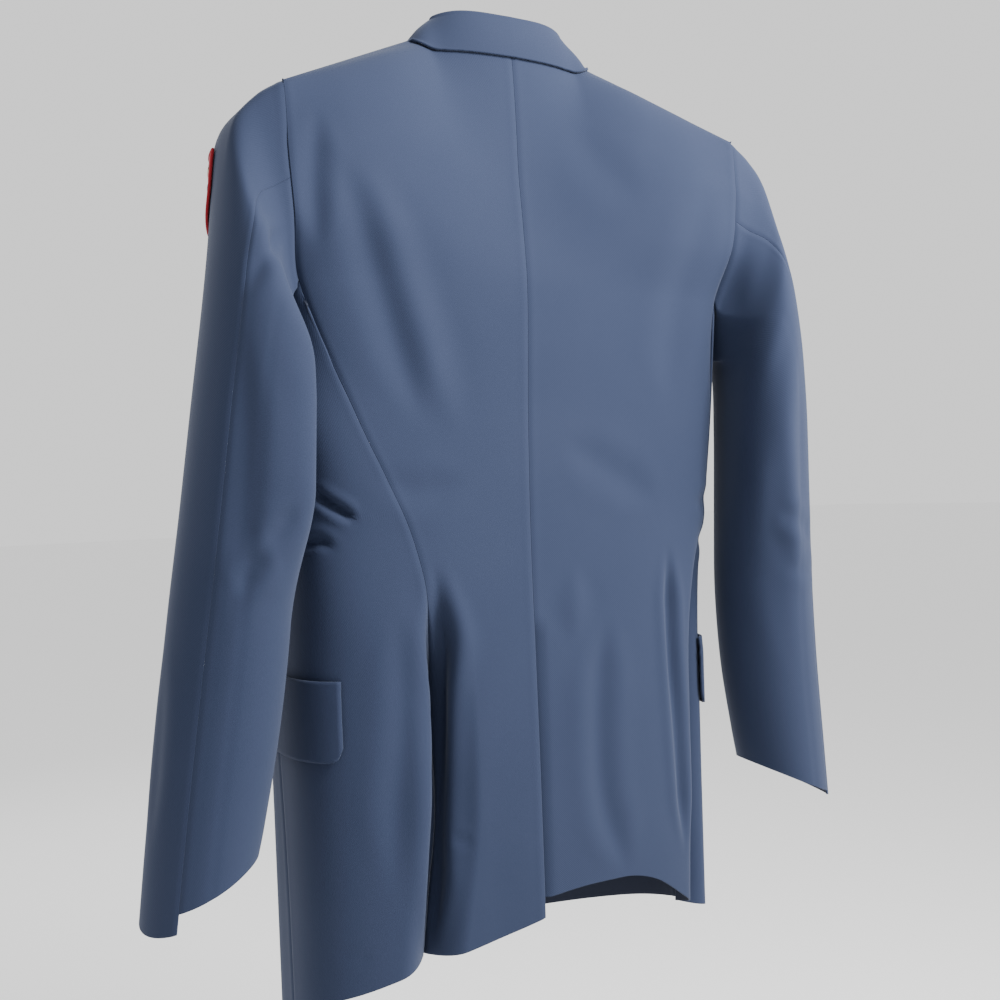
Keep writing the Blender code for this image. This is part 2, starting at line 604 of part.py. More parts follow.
def lapel_grid(front, surface):
    """A lapel laid back on its front panel from the roll line."""
    runs = np.array(SKIRT_RUNS + YOKE_RUNS)
    first = LAPEL_ROWS["break"][0]
    last = LAPEL_ROWS["gorge"][0]
    at = np.linspace(first + LAPEL_START, last, 17)
    width = table_curve(LAPEL_COLUMNS, LAPEL_ROWS, at)["width"]
    line = through(runs, front[:, -1], at)
    beside = through(runs, front[:, -5], at)
    away = beside - line
    away = away / np.linalg.norm(away, axis=-1, keepdims=True)
    share = np.linspace(1, 0, 10)[None, :, None]
    targets = line[:, None] + away[:, None] * width[:, None, None] * share
    return surface.on(targets, PANEL_LIFT + WALL)


def collar_path(back, front):
    """The neck seam on the wearer's left from the centre back to the front end."""
    neck = back[-1, : BACK_SHARES.index(NECK_SHARE) + 1]
    runs = np.array(SKIRT_RUNS + YOKE_RUNS)
    down = through(runs, front[:, -1], np.linspace(TOP_RUN, COLLAR_END_RUN, 6)[1:])
    path = np.concatenate([neck, down])
    step = np.linalg.norm(np.diff(path, axis=0), axis=1)
    length = np.concatenate([[0], np.cumsum(step)])
    even = np.linspace(0, length[-1], 19)
    return np.stack([np.interp(even, length, path[:, k]) for k in range(3)], -1)


def collar_grid(path, surface):
    """The collar's visible face from the fall's edge over the fold to the foot of the stand."""
    share = np.linspace(0, 1, len(path))
    c = table_curve(COLLAR_COLUMNS, COLLAR_SECTIONS, share)
    tangent = np.gradient(path, axis=0)
    out = np.cross(tangent, (0, 0, 1))
    out[0] = (0, 1, 0)
    out = out / np.linalg.norm(out, axis=-1, keepdims=True)
    out = out * np.where((out * (path - np.array([0, -0.09, 0]))).sum(-1) < 0, -1, 1)[:, None]
    up = np.array([0, 0, 1.0])
    foot = path + up * SEAM_GAP - out * WALL
    top = foot + up * (c["stand"][:, None] - COLLAR_FOLD) - out * c["lean"][:, None]
    middle = top + out * COLLAR_FOLD
    rows = [foot, (foot + top) / 2, top]
    for turn in (45, 90, 135, 180):
        side = -cos(radians(turn)) * out * COLLAR_FOLD
        rows.append(middle + side + up * sin(radians(turn)) * COLLAR_FOLD)
    target = path + out * c["fall_out"][:, None] - up * c["fall_drop"][:, None]
    edge, _ = surface.on(target, PANEL_LIFT + WALL)
    start = rows[-1]
    crossing = np.exp(-(((share - SEAM_CROSSING[0]) / SEAM_CROSSING[1]) ** 2))
    lift = FALL_LIFT[0] + (FALL_LIFT[1] - FALL_LIFT[0]) * crossing
    control = (start + edge) / 2 + (out + up) * FALL_ROLL
    for w in (0.25, 0.5, 0.75, 1.0):
        row = (1 - w) ** 2 * start + 2 * w * (1 - w) * control + w**2 * edge
        rows.append(surface.clear(row, PANEL_LIFT + WALL + lift))
    return np.array(rows)[::-1]


def flap_grid(side, surface):
    """A pocket flap with rounded lower corners, on the wearer's left."""
    start, end = np.radians(FLAP_ANGLES[side])
    across = np.linspace(0, 1, 21)
    down = np.linspace(0, 1, 6)[::-1]
    angle = start + (end - start) * across
    places = ring("hip", angle)
    length = np.concatenate([[0], np.cumsum(np.linalg.norm(np.diff(places, axis=0), axis=1))])
    from_end = np.minimum(length, length[-1] - length)
    round_off = FLAP_CORNER - np.sqrt(
        np.maximum(FLAP_CORNER**2 - np.maximum(FLAP_CORNER - from_end, 0) ** 2, 0)
    )
    top = FLAP_TOP_Z[0] + (FLAP_TOP_Z[1] - FLAP_TOP_Z[0]) * across
    targets = np.repeat(places[None], len(down), axis=0)
    for i, w in enumerate(down):
        targets[i, :, 2] = top - w * (FLAP_HEIGHT - round_off)
    return surface.on(targets, PANEL_LIFT + WALL)


def add_button(name, place, normal):
    """A shank button with a domed face, its back 0.3 mm off the cloth."""
    profile = ((0.0, 1.0), (0.45, 0.93), (0.75, 0.74), (0.93, 0.46), (1.0, 0.22), (0.96, 0.0))
    shape = bmesh.new()
    steps = [(r * BUTTON_RADIUS, h * BUTTON_RISE) for r, h in profile]
    spots = [shape.verts.new((r, 0, h)) for r, h in steps]
    spots.append(shape.verts.new((0, 0, 0)))
    edges = [shape.edges.new(pair) for pair in zip(spots[:-1], spots[1:])]
    bmesh.ops.spin(shape, geom=spots + edges, axis=(0, 0, 1), cent=(0, 0, 0), angle=2 * pi,
                   steps=16, use_merge=True)
    bmesh.ops.remove_doubles(shape, verts=list(shape.verts), dist=0.00001)
    bmesh.ops.recalc_face_normals(shape, faces=list(shape.faces))
    turn = Vector((0, 0, 1)).rotation_difference(Vector(normal)).to_matrix().to_4x4()
    spot = Vector(place + normal * SEAM_GAP)
    bmesh.ops.transform(shape, matrix=Matrix.Translation(spot) @ turn, verts=list(shape.verts))
    add_piece(name, shape, "button")


def patch_grid(sleeve, surface):
    """The patch on the left sleeve, a shield with a straight top."""
    up = np.linspace(1, -1, 10)[::-1, None]
    across = np.linspace(-1, 1, 9)[None, :]
    point = np.clip((PATCH_SHOULDER - up) / (1 + PATCH_SHOULDER), 0, 1)
    half = PATCH_HALF_WIDTH * np.maximum(np.sqrt(1 - point**2), PATCH_TIP)
    middles = sleeve[:, :-1].mean(1)[::-1]
    z = (PATCH_Z + up * PATCH_HALF_HEIGHT) + across * 0
    start = np.stack([np.interp(z, middles[:, 2], middles[:, k]) for k in (0, 1)] + [z], -1)
    aim = Vector((cos(radians(PATCH_ANGLE)), sin(radians(PATCH_ANGLE)), 0))
    radius = surface.tree.ray_cast(Vector(start[len(start) // 2, 0]), aim)[3]
    angle = radians(PATCH_ANGLE) + across * half / radius
    ray = np.stack([np.cos(angle), np.sin(angle), angle * 0], -1)
    targets = np.empty_like(start)
    for i in range(len(start)):
        for j in range(start.shape[1]):
            hit = surface.tree.ray_cast(Vector(start[i, j]), Vector(ray[i, j]))[0]
            targets[i, j] = hit
    return surface.on(targets, PATCH_LIFT + PATCH_THICKNESS)


def main():
    for old in list(bpy.data.objects):
        bpy.data.objects.remove(old)
    jacket = bpy.data.collections.new("dress_uniform_jacket")
    bpy.context.scene.collection.children.link(jacket)
    sides = {side: body_panels(side) for side in (1, -1)}
    normals = {side: shared_normals(sides[side]) for side in (1, -1)}
    left = sides[1]["back"]
    right = mirrored(sides[-1]["back"])
    centre = slice(None), 0
    for n in (normals[1]["back"], normals[-1]["back"]):
        n[centre] = n[centre] * np.array([0, 1, 1])
        n[centre] = n[centre] / np.linalg.norm(n[centre], axis=-1, keepdims=True)
    open_vent(left, right, normals[1]["back"])
    sides[-1]["back"] = mirrored(right)
    for side, word in ((1, "left"), (-1, "right")):
        flip = mirrored if side < 0 else np.array
        panels = sides[side]
        body = ("back", "side", "front")
        edge = np.where(np.array(SKIRT_RUNS + YOKE_RUNS) < UNDERARM_RUN, TWIST_GAP, ARMHOLE_GAP)
        gaps = {
            "back": (SEAM_GAP, TWIST_GAP, SEAM_GAP, edge),
            "side": (SEAM_GAP, ARMHOLE_GAP, TWIST_GAP, TWIST_GAP),
            "front": (SEAM_GAP, TWIST_GAP, edge, SEAM_GAP),
        }
        for name in body:
            wall(f"{name}_{word}", flip(panels[name]), flip(normals[side][name]), gaps=gaps[name])
        surface = Surface([panels[k] for k in body], [normals[side][k] for k in body])
        sleeve = panels["sleeve"]
        out = normals[side]["sleeve"]
        top = list(range(FORE_SEAM, sleeve.shape[1])) + list(range(1, HIND_SEAM + 1))
        under = list(range(HIND_SEAM, FORE_SEAM + 1))
        for name, columns in (("top_sleeve", top), ("under_sleeve", under)):
            grid = flip(sleeve[:, columns])
            round_gaps = (ARMHOLE_GAP, SEAM_GAP, TWIST_GAP, TWIST_GAP)
            wall(f"{name}_{word}", grid, flip(out[:, columns]), gaps=round_gaps)
        lapel, lapel_out = lapel_grid(panels["front"], surface)
        wall(f"lapel_{word}", flip(lapel), flip(lapel_out))
        flap, flap_out = flap_grid(side, surface)
        wall(f"pocket_flap_{word}", flip(flap), flip(flap_out))
        half = collar_grid(collar_path(panels["back"], panels["front"]), surface)
        if side > 0:
            collar_left = half
            arm = Surface([sleeve], [out])
            patch, patch_out = patch_grid(sleeve, arm)
            wall("shoulder_patch", patch, patch_out, "patch", PATCH_THICKNESS)
            cloth = Surface([panels["front"]], [normals[side]["front"]])
            for number, height in enumerate(BUTTON_HEIGHTS, 1):
                place, normal = cloth.on(np.array([[0.0, -0.25, height]]), 0.0)
                add_button(f"button_{number}", place[0], normal[0])
    collar = np.concatenate([mirrored(half)[:, :0:-1], collar_left], axis=1)
    collar_out = grid_normals(collar)
    wall("collar", collar, collar_out)


main()
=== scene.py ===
from math import cos, pi, radians, sin

import bmesh
import bpy
import numpy as np
from mathutils import Matrix, Vector
from mathutils.bvhtree import BVHTree


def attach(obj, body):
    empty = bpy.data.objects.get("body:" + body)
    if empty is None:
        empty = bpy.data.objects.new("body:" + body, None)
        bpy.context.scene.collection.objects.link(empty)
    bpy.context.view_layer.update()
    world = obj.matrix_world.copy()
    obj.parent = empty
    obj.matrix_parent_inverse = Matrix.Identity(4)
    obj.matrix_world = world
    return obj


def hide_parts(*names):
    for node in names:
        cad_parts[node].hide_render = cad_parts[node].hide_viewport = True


# Dress uniform jacket in blue wool, hollow, seen from behind.
# +Z is up, the wearer faces -Y and the wearer's left is +X. The origin is the nape.
# Every cloth piece is a fine grid of points on the form of its CAD node, turned into a thin shell.

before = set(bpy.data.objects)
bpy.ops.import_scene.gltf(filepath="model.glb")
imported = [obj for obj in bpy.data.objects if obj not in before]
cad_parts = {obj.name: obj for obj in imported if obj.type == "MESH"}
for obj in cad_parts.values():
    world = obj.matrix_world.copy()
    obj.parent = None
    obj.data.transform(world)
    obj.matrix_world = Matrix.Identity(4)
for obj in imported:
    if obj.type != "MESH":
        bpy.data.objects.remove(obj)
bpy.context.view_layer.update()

cloth = {
    "thickness": 0.0013,
    "layerThickness": 0.0022,  # of what lies on a panel: lapels, collar and flaps
    "seamDepth": 0.0005,  # how deep a sewn edge lies in its groove
    "seamWidth": 0.0023,
    "seamSharpness": 1.5,
    "seamMatch": 0.004,  # widest gap between matching points of two sewn edges
    "swell": 0.00025,  # how far the cloth rises beside a seam
    "shoulderShare": 0.50,  # depth of the shoulder seam, as a share of the others
    "sleeveShare": 0.60,
    "spacing": 0.0042,  # between rows
    "edgeSteps": (0, 0.0007, 0.0016, 0.0028, 0.0045, 0.0070, 0.0100),  # places of the columns beside an edge
    "cornerBlend": 0.0005,  # evens out how much the nearest corner of a face counts for its direction
}

# Body rings from the hem up: heights, half width, depths, squareness and the seams' angles
bodyColumns = "run backZ frontZ halfWidth backY frontY square drift leftBack rightBack leftFront rightFront"
bodyLevels = {
    "hem": (0.000, -0.745, -0.805, 0.2060, 0.014, -0.174, 3.6, 0.006, 50, 67, 86, 92),
    "skirt": (0.075, -0.672, -0.720, 0.2060, 0.015, -0.176, 3.7, 0.006, 45, 68, 87, 93),
    "hip": (0.150, -0.600, -0.630, 0.2060, 0.016, -0.178, 3.8, 0.006, 44, 68, 89, 95),
    "seat": (0.230, -0.525, -0.540, 0.2060, 0.016, -0.180, 4.0, 0.006, 45, 68, 92, 97),
    "waist": (0.330, -0.425, -0.430, 0.2070, 0.015, -0.181, 5.6, 0.006, 50, 68, 95, 98),
    "ribs": (0.430, -0.325, -0.328, 0.2105, 0.018, -0.187, 8.0, 0.006, 58, 66, 98, 99),
    "scye": (0.540, -0.215, -0.235, 0.2135, 0.023, -0.188, 9.5, 0.005, 65, 65, 100, 100),
}
hemColumns = "angle leftZ rightZ"
hemLine = {
    "centreBack": (0, -0.755, -0.747),
    "skirt": (38, -0.770, -0.738),
    "sideFold": (52, -0.778, -0.748),
    "sideBack": (67, -0.793, -0.788),
    "side": (82, -0.808, -0.802),
    "sideFront": (102, -0.830, -0.816),
    "front": (135, -0.824, -0.820),
    "frontEdge": (190, -0.812, -0.812),
}
yokeColumns = "run centreY centreZ edgeX edgeY edgeZ"
backYoke = {
    "blade": (0.590, 0.018, -0.165, 0.2120, 0.034, -0.169),
    "yoke": (0.640, 0.013, -0.115, 0.2160, 0.037, -0.123),
}
frontYoke = {
    "chest": (0.590, -0.178, -0.172, 0.192, -0.112, -0.190),
    "upper": (0.640, -0.154, -0.115, 0.194, -0.092, -0.140),
}
body = {
    "neckPoint": np.array([0.071, -0.026, 0.006]),
    "shoulderTip": np.array([0.2165, 0.030, -0.070]),
    "neckShare": 0.34,
    "frontOverlap": 0.020,
    "frontSquare": 2.4,
    "squareTurn": (70, 115),  # angles over which the rings round off towards the front
    "riseTurn": (40, 115),  # angles over which they go from the back's height to the front's
    "underDepth": 0.0080,  # how far the right front lies under the left one
    "underReach": (0.045, 0.090),
    "underTop": (-0.150, -0.240),
    "breakZ": -0.335,
    "underarmDip": 0.030,
    "yokeDrift": 0.004,
    "yokeEdgeTurn": 0.002,
    "yokeShares": (0, 0.8),  # shares of its width over which the yoke gains its depth
    "yokeEdgeShares": (0.75, 1),
    "topRun": 0.760,
    "archRuns": (0.665, 0.695, 0.728),
    "backArch": (0.30, 0.80),
    "frontArch": (0.35, 0.80),
    "backArchShares": (0.1, 0.6),
    "frontArchShares": (0.35, 1.0),
    "skirtFolds": {1: (-0.450, -0.580, 0.030, 0.030), -1: (-0.410, -0.520, 0.024, 0.024)},
    "columns": {"back": 76, "side": 50, "front": 76},  # points across a panel
    "yokeRows": (14, 34),  # rows from the sleeve's front seam to its rear one, and on to the shoulder
    "underarmRound": 1.2,
}
vent = {
    "top": -0.500,
    "underlap": 0.035,
    "step": 0.006,
    "flare": 0.003,
    "full": -0.750,
    "reach": (0.05, 0.08),
    "sink": 0.0033,  # of the right skirt under the left one
    "sinkReach": 0.012,
    "opens": (-0.004, 0.016),  # how far below its top it starts and is fully open
    "columns": 16,
    "inset": -0.001,  # where the underlap starts, beside the left skirt's edge
}
sleeveColumns = "run outerX outerZ innerX innerZ centreY halfDepth"
sleeveRings = {
    "head": (0.030, 0.2410, -0.0820, 0.2165, -0.2610, -0.021, 0.0650),
    "cap": (0.062, 0.2560, -0.1080, 0.2190, -0.2650, -0.004, 0.0590),
    "crown": (0.100, 0.2655, -0.1480, 0.2205, -0.2730, 0.007, 0.0550),
    "biceps": (0.150, 0.2745, -0.2040, 0.2205, -0.2960, 0.010, 0.0550),
    "upperArm": (0.240, 0.2880, -0.2980, 0.2195, -0.3560, 0.006, 0.0550),
    "aboveElbow": (0.340, 0.3010, -0.3980, 0.2190, -0.4350, -0.003, 0.0520),
    "elbow": (0.410, 0.3105, -0.4700, 0.2215, -0.4980, -0.011, 0.0500),
    "forearm": (0.500, 0.3215, -0.5600, 0.2300, -0.5700, -0.018, 0.0480),
    "wrist": (0.590, 0.3320, -0.6500, 0.2430, -0.6380, -0.022, 0.0460),
    "cuff": (0.650, 0.3380, -0.7060, 0.2500, -0.6670, -0.024, 0.0450),
}
sleeve = {
    "drop": {1: -0.001, -1: -0.002},
    "dropRuns": (0.3, 0.65),
    "cuffBackDrop": 0.006,
    "cuffRuns": (0.5, 0.65),
    "hindRun": 0.615,  # run on the back's armhole edge where the rear seam starts
    "foreRun": 0.565,  # run on the front's armhole edge where the front seam starts
    "hindAngle": 55,
    "foreAngle": 235,
    "swing": {1: 0.012, -1: 0.006},
    "swingRuns": (0.03, 0.20),
    "fullness": {1: (-0.0150, 0.0110), -1: (-0.0100, 0.0080)},  # at the rear inner side
    "fullnessRuns": (0.04, 0.16, 0.28, 0.40),
    "fullnessAngles": (135, 38),
    "headSpread": (0.75, 0.32),
    "headRun": 0.11,
    "evenRun": 0.2,
    "columns": 78,
    "ventRise": {1: 0.015, -1: 0.004},  # how much shorter the under sleeve is at the cuff's vent
    "ventStart": 0.8,  # share of the length where the shortening starts
    "ventFade": (0.35, 1.0),  # shares of the width over which it fades away from the rear seam
}

collarColumns = "share stand lean fallOut fallDrop"
collarSections = {
    "centreBack": (0.00, 0.026, 0.005, 0.004, 0.013),
    "backNeck": (0.25, 0.025, 0.006, 0.010, 0.013),
    "neckPoint": (0.50, 0.014, 0.012, 0.022, 0.016),
    "side": (0.70, 0.011, 0.009, 0.032, 0.016),
    "frontEnd": (1.00, 0.007, 0.001, 0.046, 0.010),
}
collar = {
    "endRun": 0.684,  # run on the front edge where it ends
    "fold": 0.0034,  # radius of the fold between stand and fall
    "lift": 0.0029,
    "crossingLift": 0.0016,  # more of it where the fall crosses the shoulder seam
    "crossing": (0.50, 0.16),
    "roll": 0.0030,
    "points": 90,
    "foot": (0.0008, 0.0018),  # how far the stand's foot lies below and inside the neck line
    "standRows": 9,
    "foldTurns": (20, 180),
    "fallShares": (*np.linspace(0, 1, 15)[1:-1], 0.975, 1.0),
    "neckMiddle": (0, -0.09, 0),
}
lapelColumns = "run width"
lapelRows = {
    "break": (0.428, 0.000),
    "low": (0.470, 0.032),
    "middle": (0.540, 0.066),
    "high": (0.610, 0.090),
    "notch": (0.648, 0.094),
    "gorge": (0.664, 0.070),
}
lapel = {
    "lift": 0.0033,
    "roll": 0.0032,
    "rollReach": 0.030,
    "fullRollWidth": 0.05,  # width from which the roll has its full height
    "besideColumn": -14,  # column of the front that gives the way out from the fold
    "start": 0.004,
    "rows": 90,
    "columns": 44,
}
flap = {
    "topZ": (-0.536, -0.530),
    "height": 0.066,
    "angles": {1: (66, 124), -1: (72, 124)},
    "corner": 0.012,
    "lift": 0.0042,
    "bulge": 0.0012,
    "bulgeShare": 0.35,
    "rows": 26,
    "columns": 61,
}
patch = {
    "z": -0.150,
    "angle": -8,  # from +X, minus towards the front
    "halfWidth": 0.029,
    "halfHeight": 0.031,
    "shoulder": 0.1,
    "tip": 0.12,
    "lift": 0.0024,
    "thickness": 0.0010,
    "border": 0.0013,  # radius of the sewn border
    "borderDrop": 0.0004,  # of its middle below the field
    "bandThickness": 0.0003,
    "rows": 56,
    "columns": 49,
    "lean": 0.27,  # how far its lower rows follow the sleeve's slant
    "raise": 0.0006,  # of the bands above the field
    "bandProfile": ((-1, 0.0), (-0.85, 0.6), (-0.4, 0.95), (0, 1.0), (0.4, 0.95), (0.85, 0.6), (1, 0.0)),
}
button = {
    "heights": (-0.352, -0.462, -0.572),
    "inFrontY": -0.25,  # a place before the front, from which the nearest cloth is looked for
    "radius": 0.0100,
    "rise": 0.0045,
    "lift": 0.0003,
    "steps": 48,
}


def smooth(x, low, high):
    t = np.clip((np.asarray(x, float) - low) / (high - low), 0, 1)
    return t * t * (3 - 2 * t)


def through(knots, values, at):
    # points of a smooth curve that passes through values at the knots
    k = np.asarray(knots, float)
    p = np.asarray(values, float)
    tail = (1,) * (p.ndim - 1)
    slope = np.empty_like(p)
    slope[1:-1] = (p[2:] - p[:-2]) / (k[2:] - k[:-2]).reshape((-1,) + tail)
    slope[0] = (p[1] - p[0]) / (k[1] - k[0])
    slope[-1] = (p[-1] - p[-2]) / (k[-1] - k[-2])
    at = np.atleast_1d(np.asarray(at, float))
    i = np.clip(np.searchsorted(k, at, side="right") - 1, 0, len(k) - 2)
    h = (k[i + 1] - k[i]).reshape((-1,) + tail)
    t = (at - k[i]).reshape((-1,) + tail) / h
    start = (2 * t**3 - 3 * t**2 + 1) * p[i] + (t**3 - 2 * t**2 + t) * h * slope[i]
    return start + (3 * t**2 - 2 * t**3) * p[i + 1] + (t**3 - t**2) * h * slope[i + 1]


def named(columns, row):
    return dict(zip(columns.split(), row))


def tableCurve(columns, table, at):
    rows = np.array(list(table.values()), float)
    return dict(zip(columns.split()[1:], through(rows[:, 0], rows[:, 1:], at).T))


def ringRow(level, start, end, share):
    # points of a body ring between two angles from the centre back, evenly spaced along it
    b = named(bodyColumns, bodyLevels[level])
    middle = (b["backY"] + b["frontY"]) / 2
    depth = (b["backY"] - b["frontY"]) / 2
    angle = np.linspace(start, end, 241)
    turned = smooth(angle, *np.radians(body["squareTurn"]))
    square = b["square"] + (body["frontSquare"] - b["square"]) * turned
    across = np.abs(np.sin(angle) / b["halfWidth"]) ** square
    radius = (across + np.abs(np.cos(angle) / depth) ** square) ** (-1 / square)
    z = b["backZ"] + (b["frontZ"] - b["backZ"]) * smooth(angle, *np.radians(body["riseTurn"]))
    dense = np.stack([radius * np.sin(angle), middle + radius * np.cos(angle), z], -1)
    return alongLine(dense, share)


def alongLine(points, share):
    length = np.concatenate([[0], np.cumsum(np.linalg.norm(np.diff(points, axis=0), axis=1))])
    at = np.asarray(share, float) * length[-1]
    return np.stack([np.interp(at, length, points[:, k]) for k in range(3)], -1)


def hemHeight(points, side):
    b = named(bodyColumns, bodyLevels["hem"])
    middle = (b["backY"] + b["frontY"]) / 2
    angle = np.degrees(np.abs(np.arctan2(points[:, 0], points[:, 1] - middle)))
    return tableCurve(hemColumns, hemLine, angle)["leftZ" if side > 0 else "rightZ"]


def seamAngles(level, side):
    b = named(bodyColumns, bodyLevels[level])
    word = "left" if side > 0 else "right"
    centre = side * 2 * b["drift"] / (b["backY"] - b["frontY"])
    return centre, radians(b[word + "Back"]), radians(b[word + "Front"])


def archRows(low, top, steepness):
    # rows of the arch from the row low over to the shoulder seam
    corner = np.stack([(low[:, 0] + top[:, 0]) / 2, low[:, 1], top[:, 2]], -1)
    control = (low + top) / 2 * (1 - steepness) + corner * steepness
    yokeRun = backYoke["yoke"][0]
    rows = []
    for run in body["archRuns"]:
        w = (run - yokeRun) / (body["topRun"] - yokeRun)
        rows.append((1 - w) ** 2 * low + 2 * w * (1 - w) * control + w**2 * top)
    return rows


def backForm(share, side):
    s = np.asarray(share, float)
    runs = []
    rows = []
    for level, row in bodyLevels.items():
        start, end, _ = seamAngles(level, side)
        runs.append(row[0])
        rows.append(ringRow(level, start, end, s))
    rows[0][:, 2] = hemHeight(rows[0], side)
    for row in backYoke.values():
        y = named(yokeColumns, row)
        runs.append(y["run"])
        x = y["edgeX"] * s + side * body["yokeDrift"] * (1 - s)
        depth = y["centreY"] + (y["edgeY"] - y["centreY"]) * smooth(s, *body["yokeShares"])
        depth = depth - body["yokeEdgeTurn"] * smooth(s, *body["yokeEdgeShares"])
        rows.append(np.stack([x, depth, y["centreZ"] + (y["edgeZ"] - y["centreZ"]) * s**2], -1))
    turn = np.clip(s / body["neckShare"], 0, 1) * pi / 2
    neck = np.stack([np.sin(turn), 1 - np.cos(turn), (turn / (pi / 2)) ** 2], -1) * body["neckPoint"]
    along = np.clip((s - body["neckShare"]) / (1 - body["neckShare"]), 0, 1)[:, None]
    top = neck + (body["shoulderTip"] - body["neckPoint"]) * along
    low, high = body["backArch"]
    steepness = low + (high - low) * smooth(s, *body["backArchShares"])
    rows += archRows(rows[-1], top, steepness[:, None])
    rows.append(top)
    return runs + list(body["archRuns"]) + [body["topRun"]], rows


def rollLineX(z):
    share = np.clip((np.asarray(z) - body["breakZ"]) / (body["neckPoint"][2] - body["breakZ"]), 0, 1)
    return -body["frontOverlap"] + (body["neckPoint"][0] + body["frontOverlap"]) * share


def frontForm(share, side):
    s = np.asarray(share, float)
    runs = []
    rows = []
    for level, row in bodyLevels.items():
        b = named(bodyColumns, row)
        end = pi - np.arctan2(rollLineX(b["frontZ"]), (b["backY"] - b["frontY"]) / 2)
        runs.append(b["run"])
        rows.append(ringRow(level, seamAngles(level, side)[2], end, s))
    rows[0][:, 2] = hemHeight(rows[0], side)
    for row in frontYoke.values():
        y = named(yokeColumns, row)
        centreX = rollLineX(y["centreZ"])
        rise = y["edgeZ"] + (y["centreZ"] - y["edgeZ"]) * s
        depth = y["centreY"] + (y["edgeY"] - y["centreY"]) * (1 - s) ** 2
        runs.append(y["run"])
        rows.append(np.stack([y["edgeX"] + (centreX - y["edgeX"]) * s, depth, rise], -1))
    top = body["shoulderTip"] + (body["neckPoint"] - body["shoulderTip"]) * s[:, None]
    low, high = body["frontArch"]
    steepness = high + (low - high) * smooth(s, *body["frontArchShares"])
    rows += archRows(rows[-1], top, steepness[:, None])
    rows.append(top)
    return runs + list(body["archRuns"]) + [body["topRun"]], rows


def sideForm(share, side):
    s = np.asarray(share, float)
    runs = []
    rows = []
    for level, row in bodyLevels.items():
        _, start, end = seamAngles(level, side)
        runs.append(row[0])
        rows.append(ringRow(level, start, end, s))
    rows[0][:, 2] = hemHeight(rows[0], side)
    rows[-1][:, 2] -= body["underarmDip"] * np.sin(s * pi) ** body["underarmRound"]
    return runs, rows


def gridNormals(grid):
    n = np.cross(np.gradient(grid, axis=0), np.gradient(grid, axis=1))
    return n / np.maximum(np.linalg.norm(n, axis=-1, keepdims=True), 1e-12)


def rowRun(grid):
    # distance of each point along its row
    step = np.linalg.norm(np.diff(grid, axis=1), axis=-1)
    return np.concatenate([np.zeros((len(grid), 1)), np.cumsum(step, axis=1)], axis=1)


def edgeDistance(grid, column):
    run = rowRun(grid)
    return np.abs(run - run[:, [column]])


def gradedRows(grid, columns, values=None):
    # the same surface, or values on it, with its columns close together beside both ends
    lead = np.array(cloth["edgeSteps"])
    run = rowRun(grid)
    values = grid if values is None else values
    made = np.empty((len(grid), columns, 3))
    for i, row in enumerate(values):
        total = run[i, -1]
        middle = np.linspace(lead[-1], total - lead[-1], columns - 2 * len(lead) + 2)[1:-1]
        at = np.concatenate([lead, middle, (total - lead)[::-1]])
        made[i] = np.stack([np.interp(at, run[i], row[:, k]) for k in range(3)], -1)
    return made


def shareNormals(first, second):
    # the same normals on both sides of a seam
    mean = first + second
    mean = mean / np.linalg.norm(mean, axis=-1, keepdims=True)
    first[:] = mean
    second[:] = mean


def meetNormals(back, front, backOut, frontOut):
    # the same on the shoulder seam, where the two rows' points don't match one to one
    gaps = np.linalg.norm(back[:, None] - front[None], axis=-1)
    near = gaps.min(1) < cloth["seamMatch"]
    mean = backOut[near] + frontOut[gaps.argmin(1)[near]]
    backOut[near] = mean / np.linalg.norm(mean, axis=-1, keepdims=True)
    match = gaps.argmin(0)
    frontOut[:] = backOut[match]


def joinNormals(panels, found):
    # the same normals along both sides of every seam that a side's panels share
    skirt = len(skirtRuns)
    shareNormals(found["back"][:skirt, -1], found["side"][:, 0])
    shareNormals(found["side"][:, -1], found["front"][:skirt, 0])
    meetNormals(panels["back"][-1], panels["front"][-1], found["back"][-1], found["front"][-1])
    ring = panels["sleeve"][0]
    edges = {"back": (slice(skirt, None), -1), "side": (-1, slice(None)), "front": (slice(skirt, None), 0)}
    points = np.concatenate([panels[name][edge] for name, edge in edges.items()])
    outward = np.concatenate([found[name][edge] for name, edge in edges.items()])
    match = np.linalg.norm(ring[:, None] - points[None], axis=-1).argmin(1)
    out = found["sleeve"][0] + outward[match]
    found["sleeve"][0] = out / np.linalg.norm(out, axis=-1, keepdims=True)
    for name, edge in edges.items():
        match = np.linalg.norm(panels[name][edge][:, None] - ring[None], axis=-1).argmin(1)
        found[name][edge] = found["sleeve"][0][match]
    found["back"][skirt - 1, -1] = found["side"][-1, 0]
    found["front"][skirt - 1, 0] = found["side"][-1, -1]


def skirtFold(grid, side, fromEdge):
    top, full, depth, width = body["skirtFolds"][side]
    amount = depth * smooth(-grid[:, :, 2], -top, -full)
    profile = (1 - np.clip(fromEdge / width, 0, 1)) ** 2
    normals = gridNormals(grid)
    normals[:, :, 2] = 0
    return grid - normals * (amount * profile)[:, :, None]


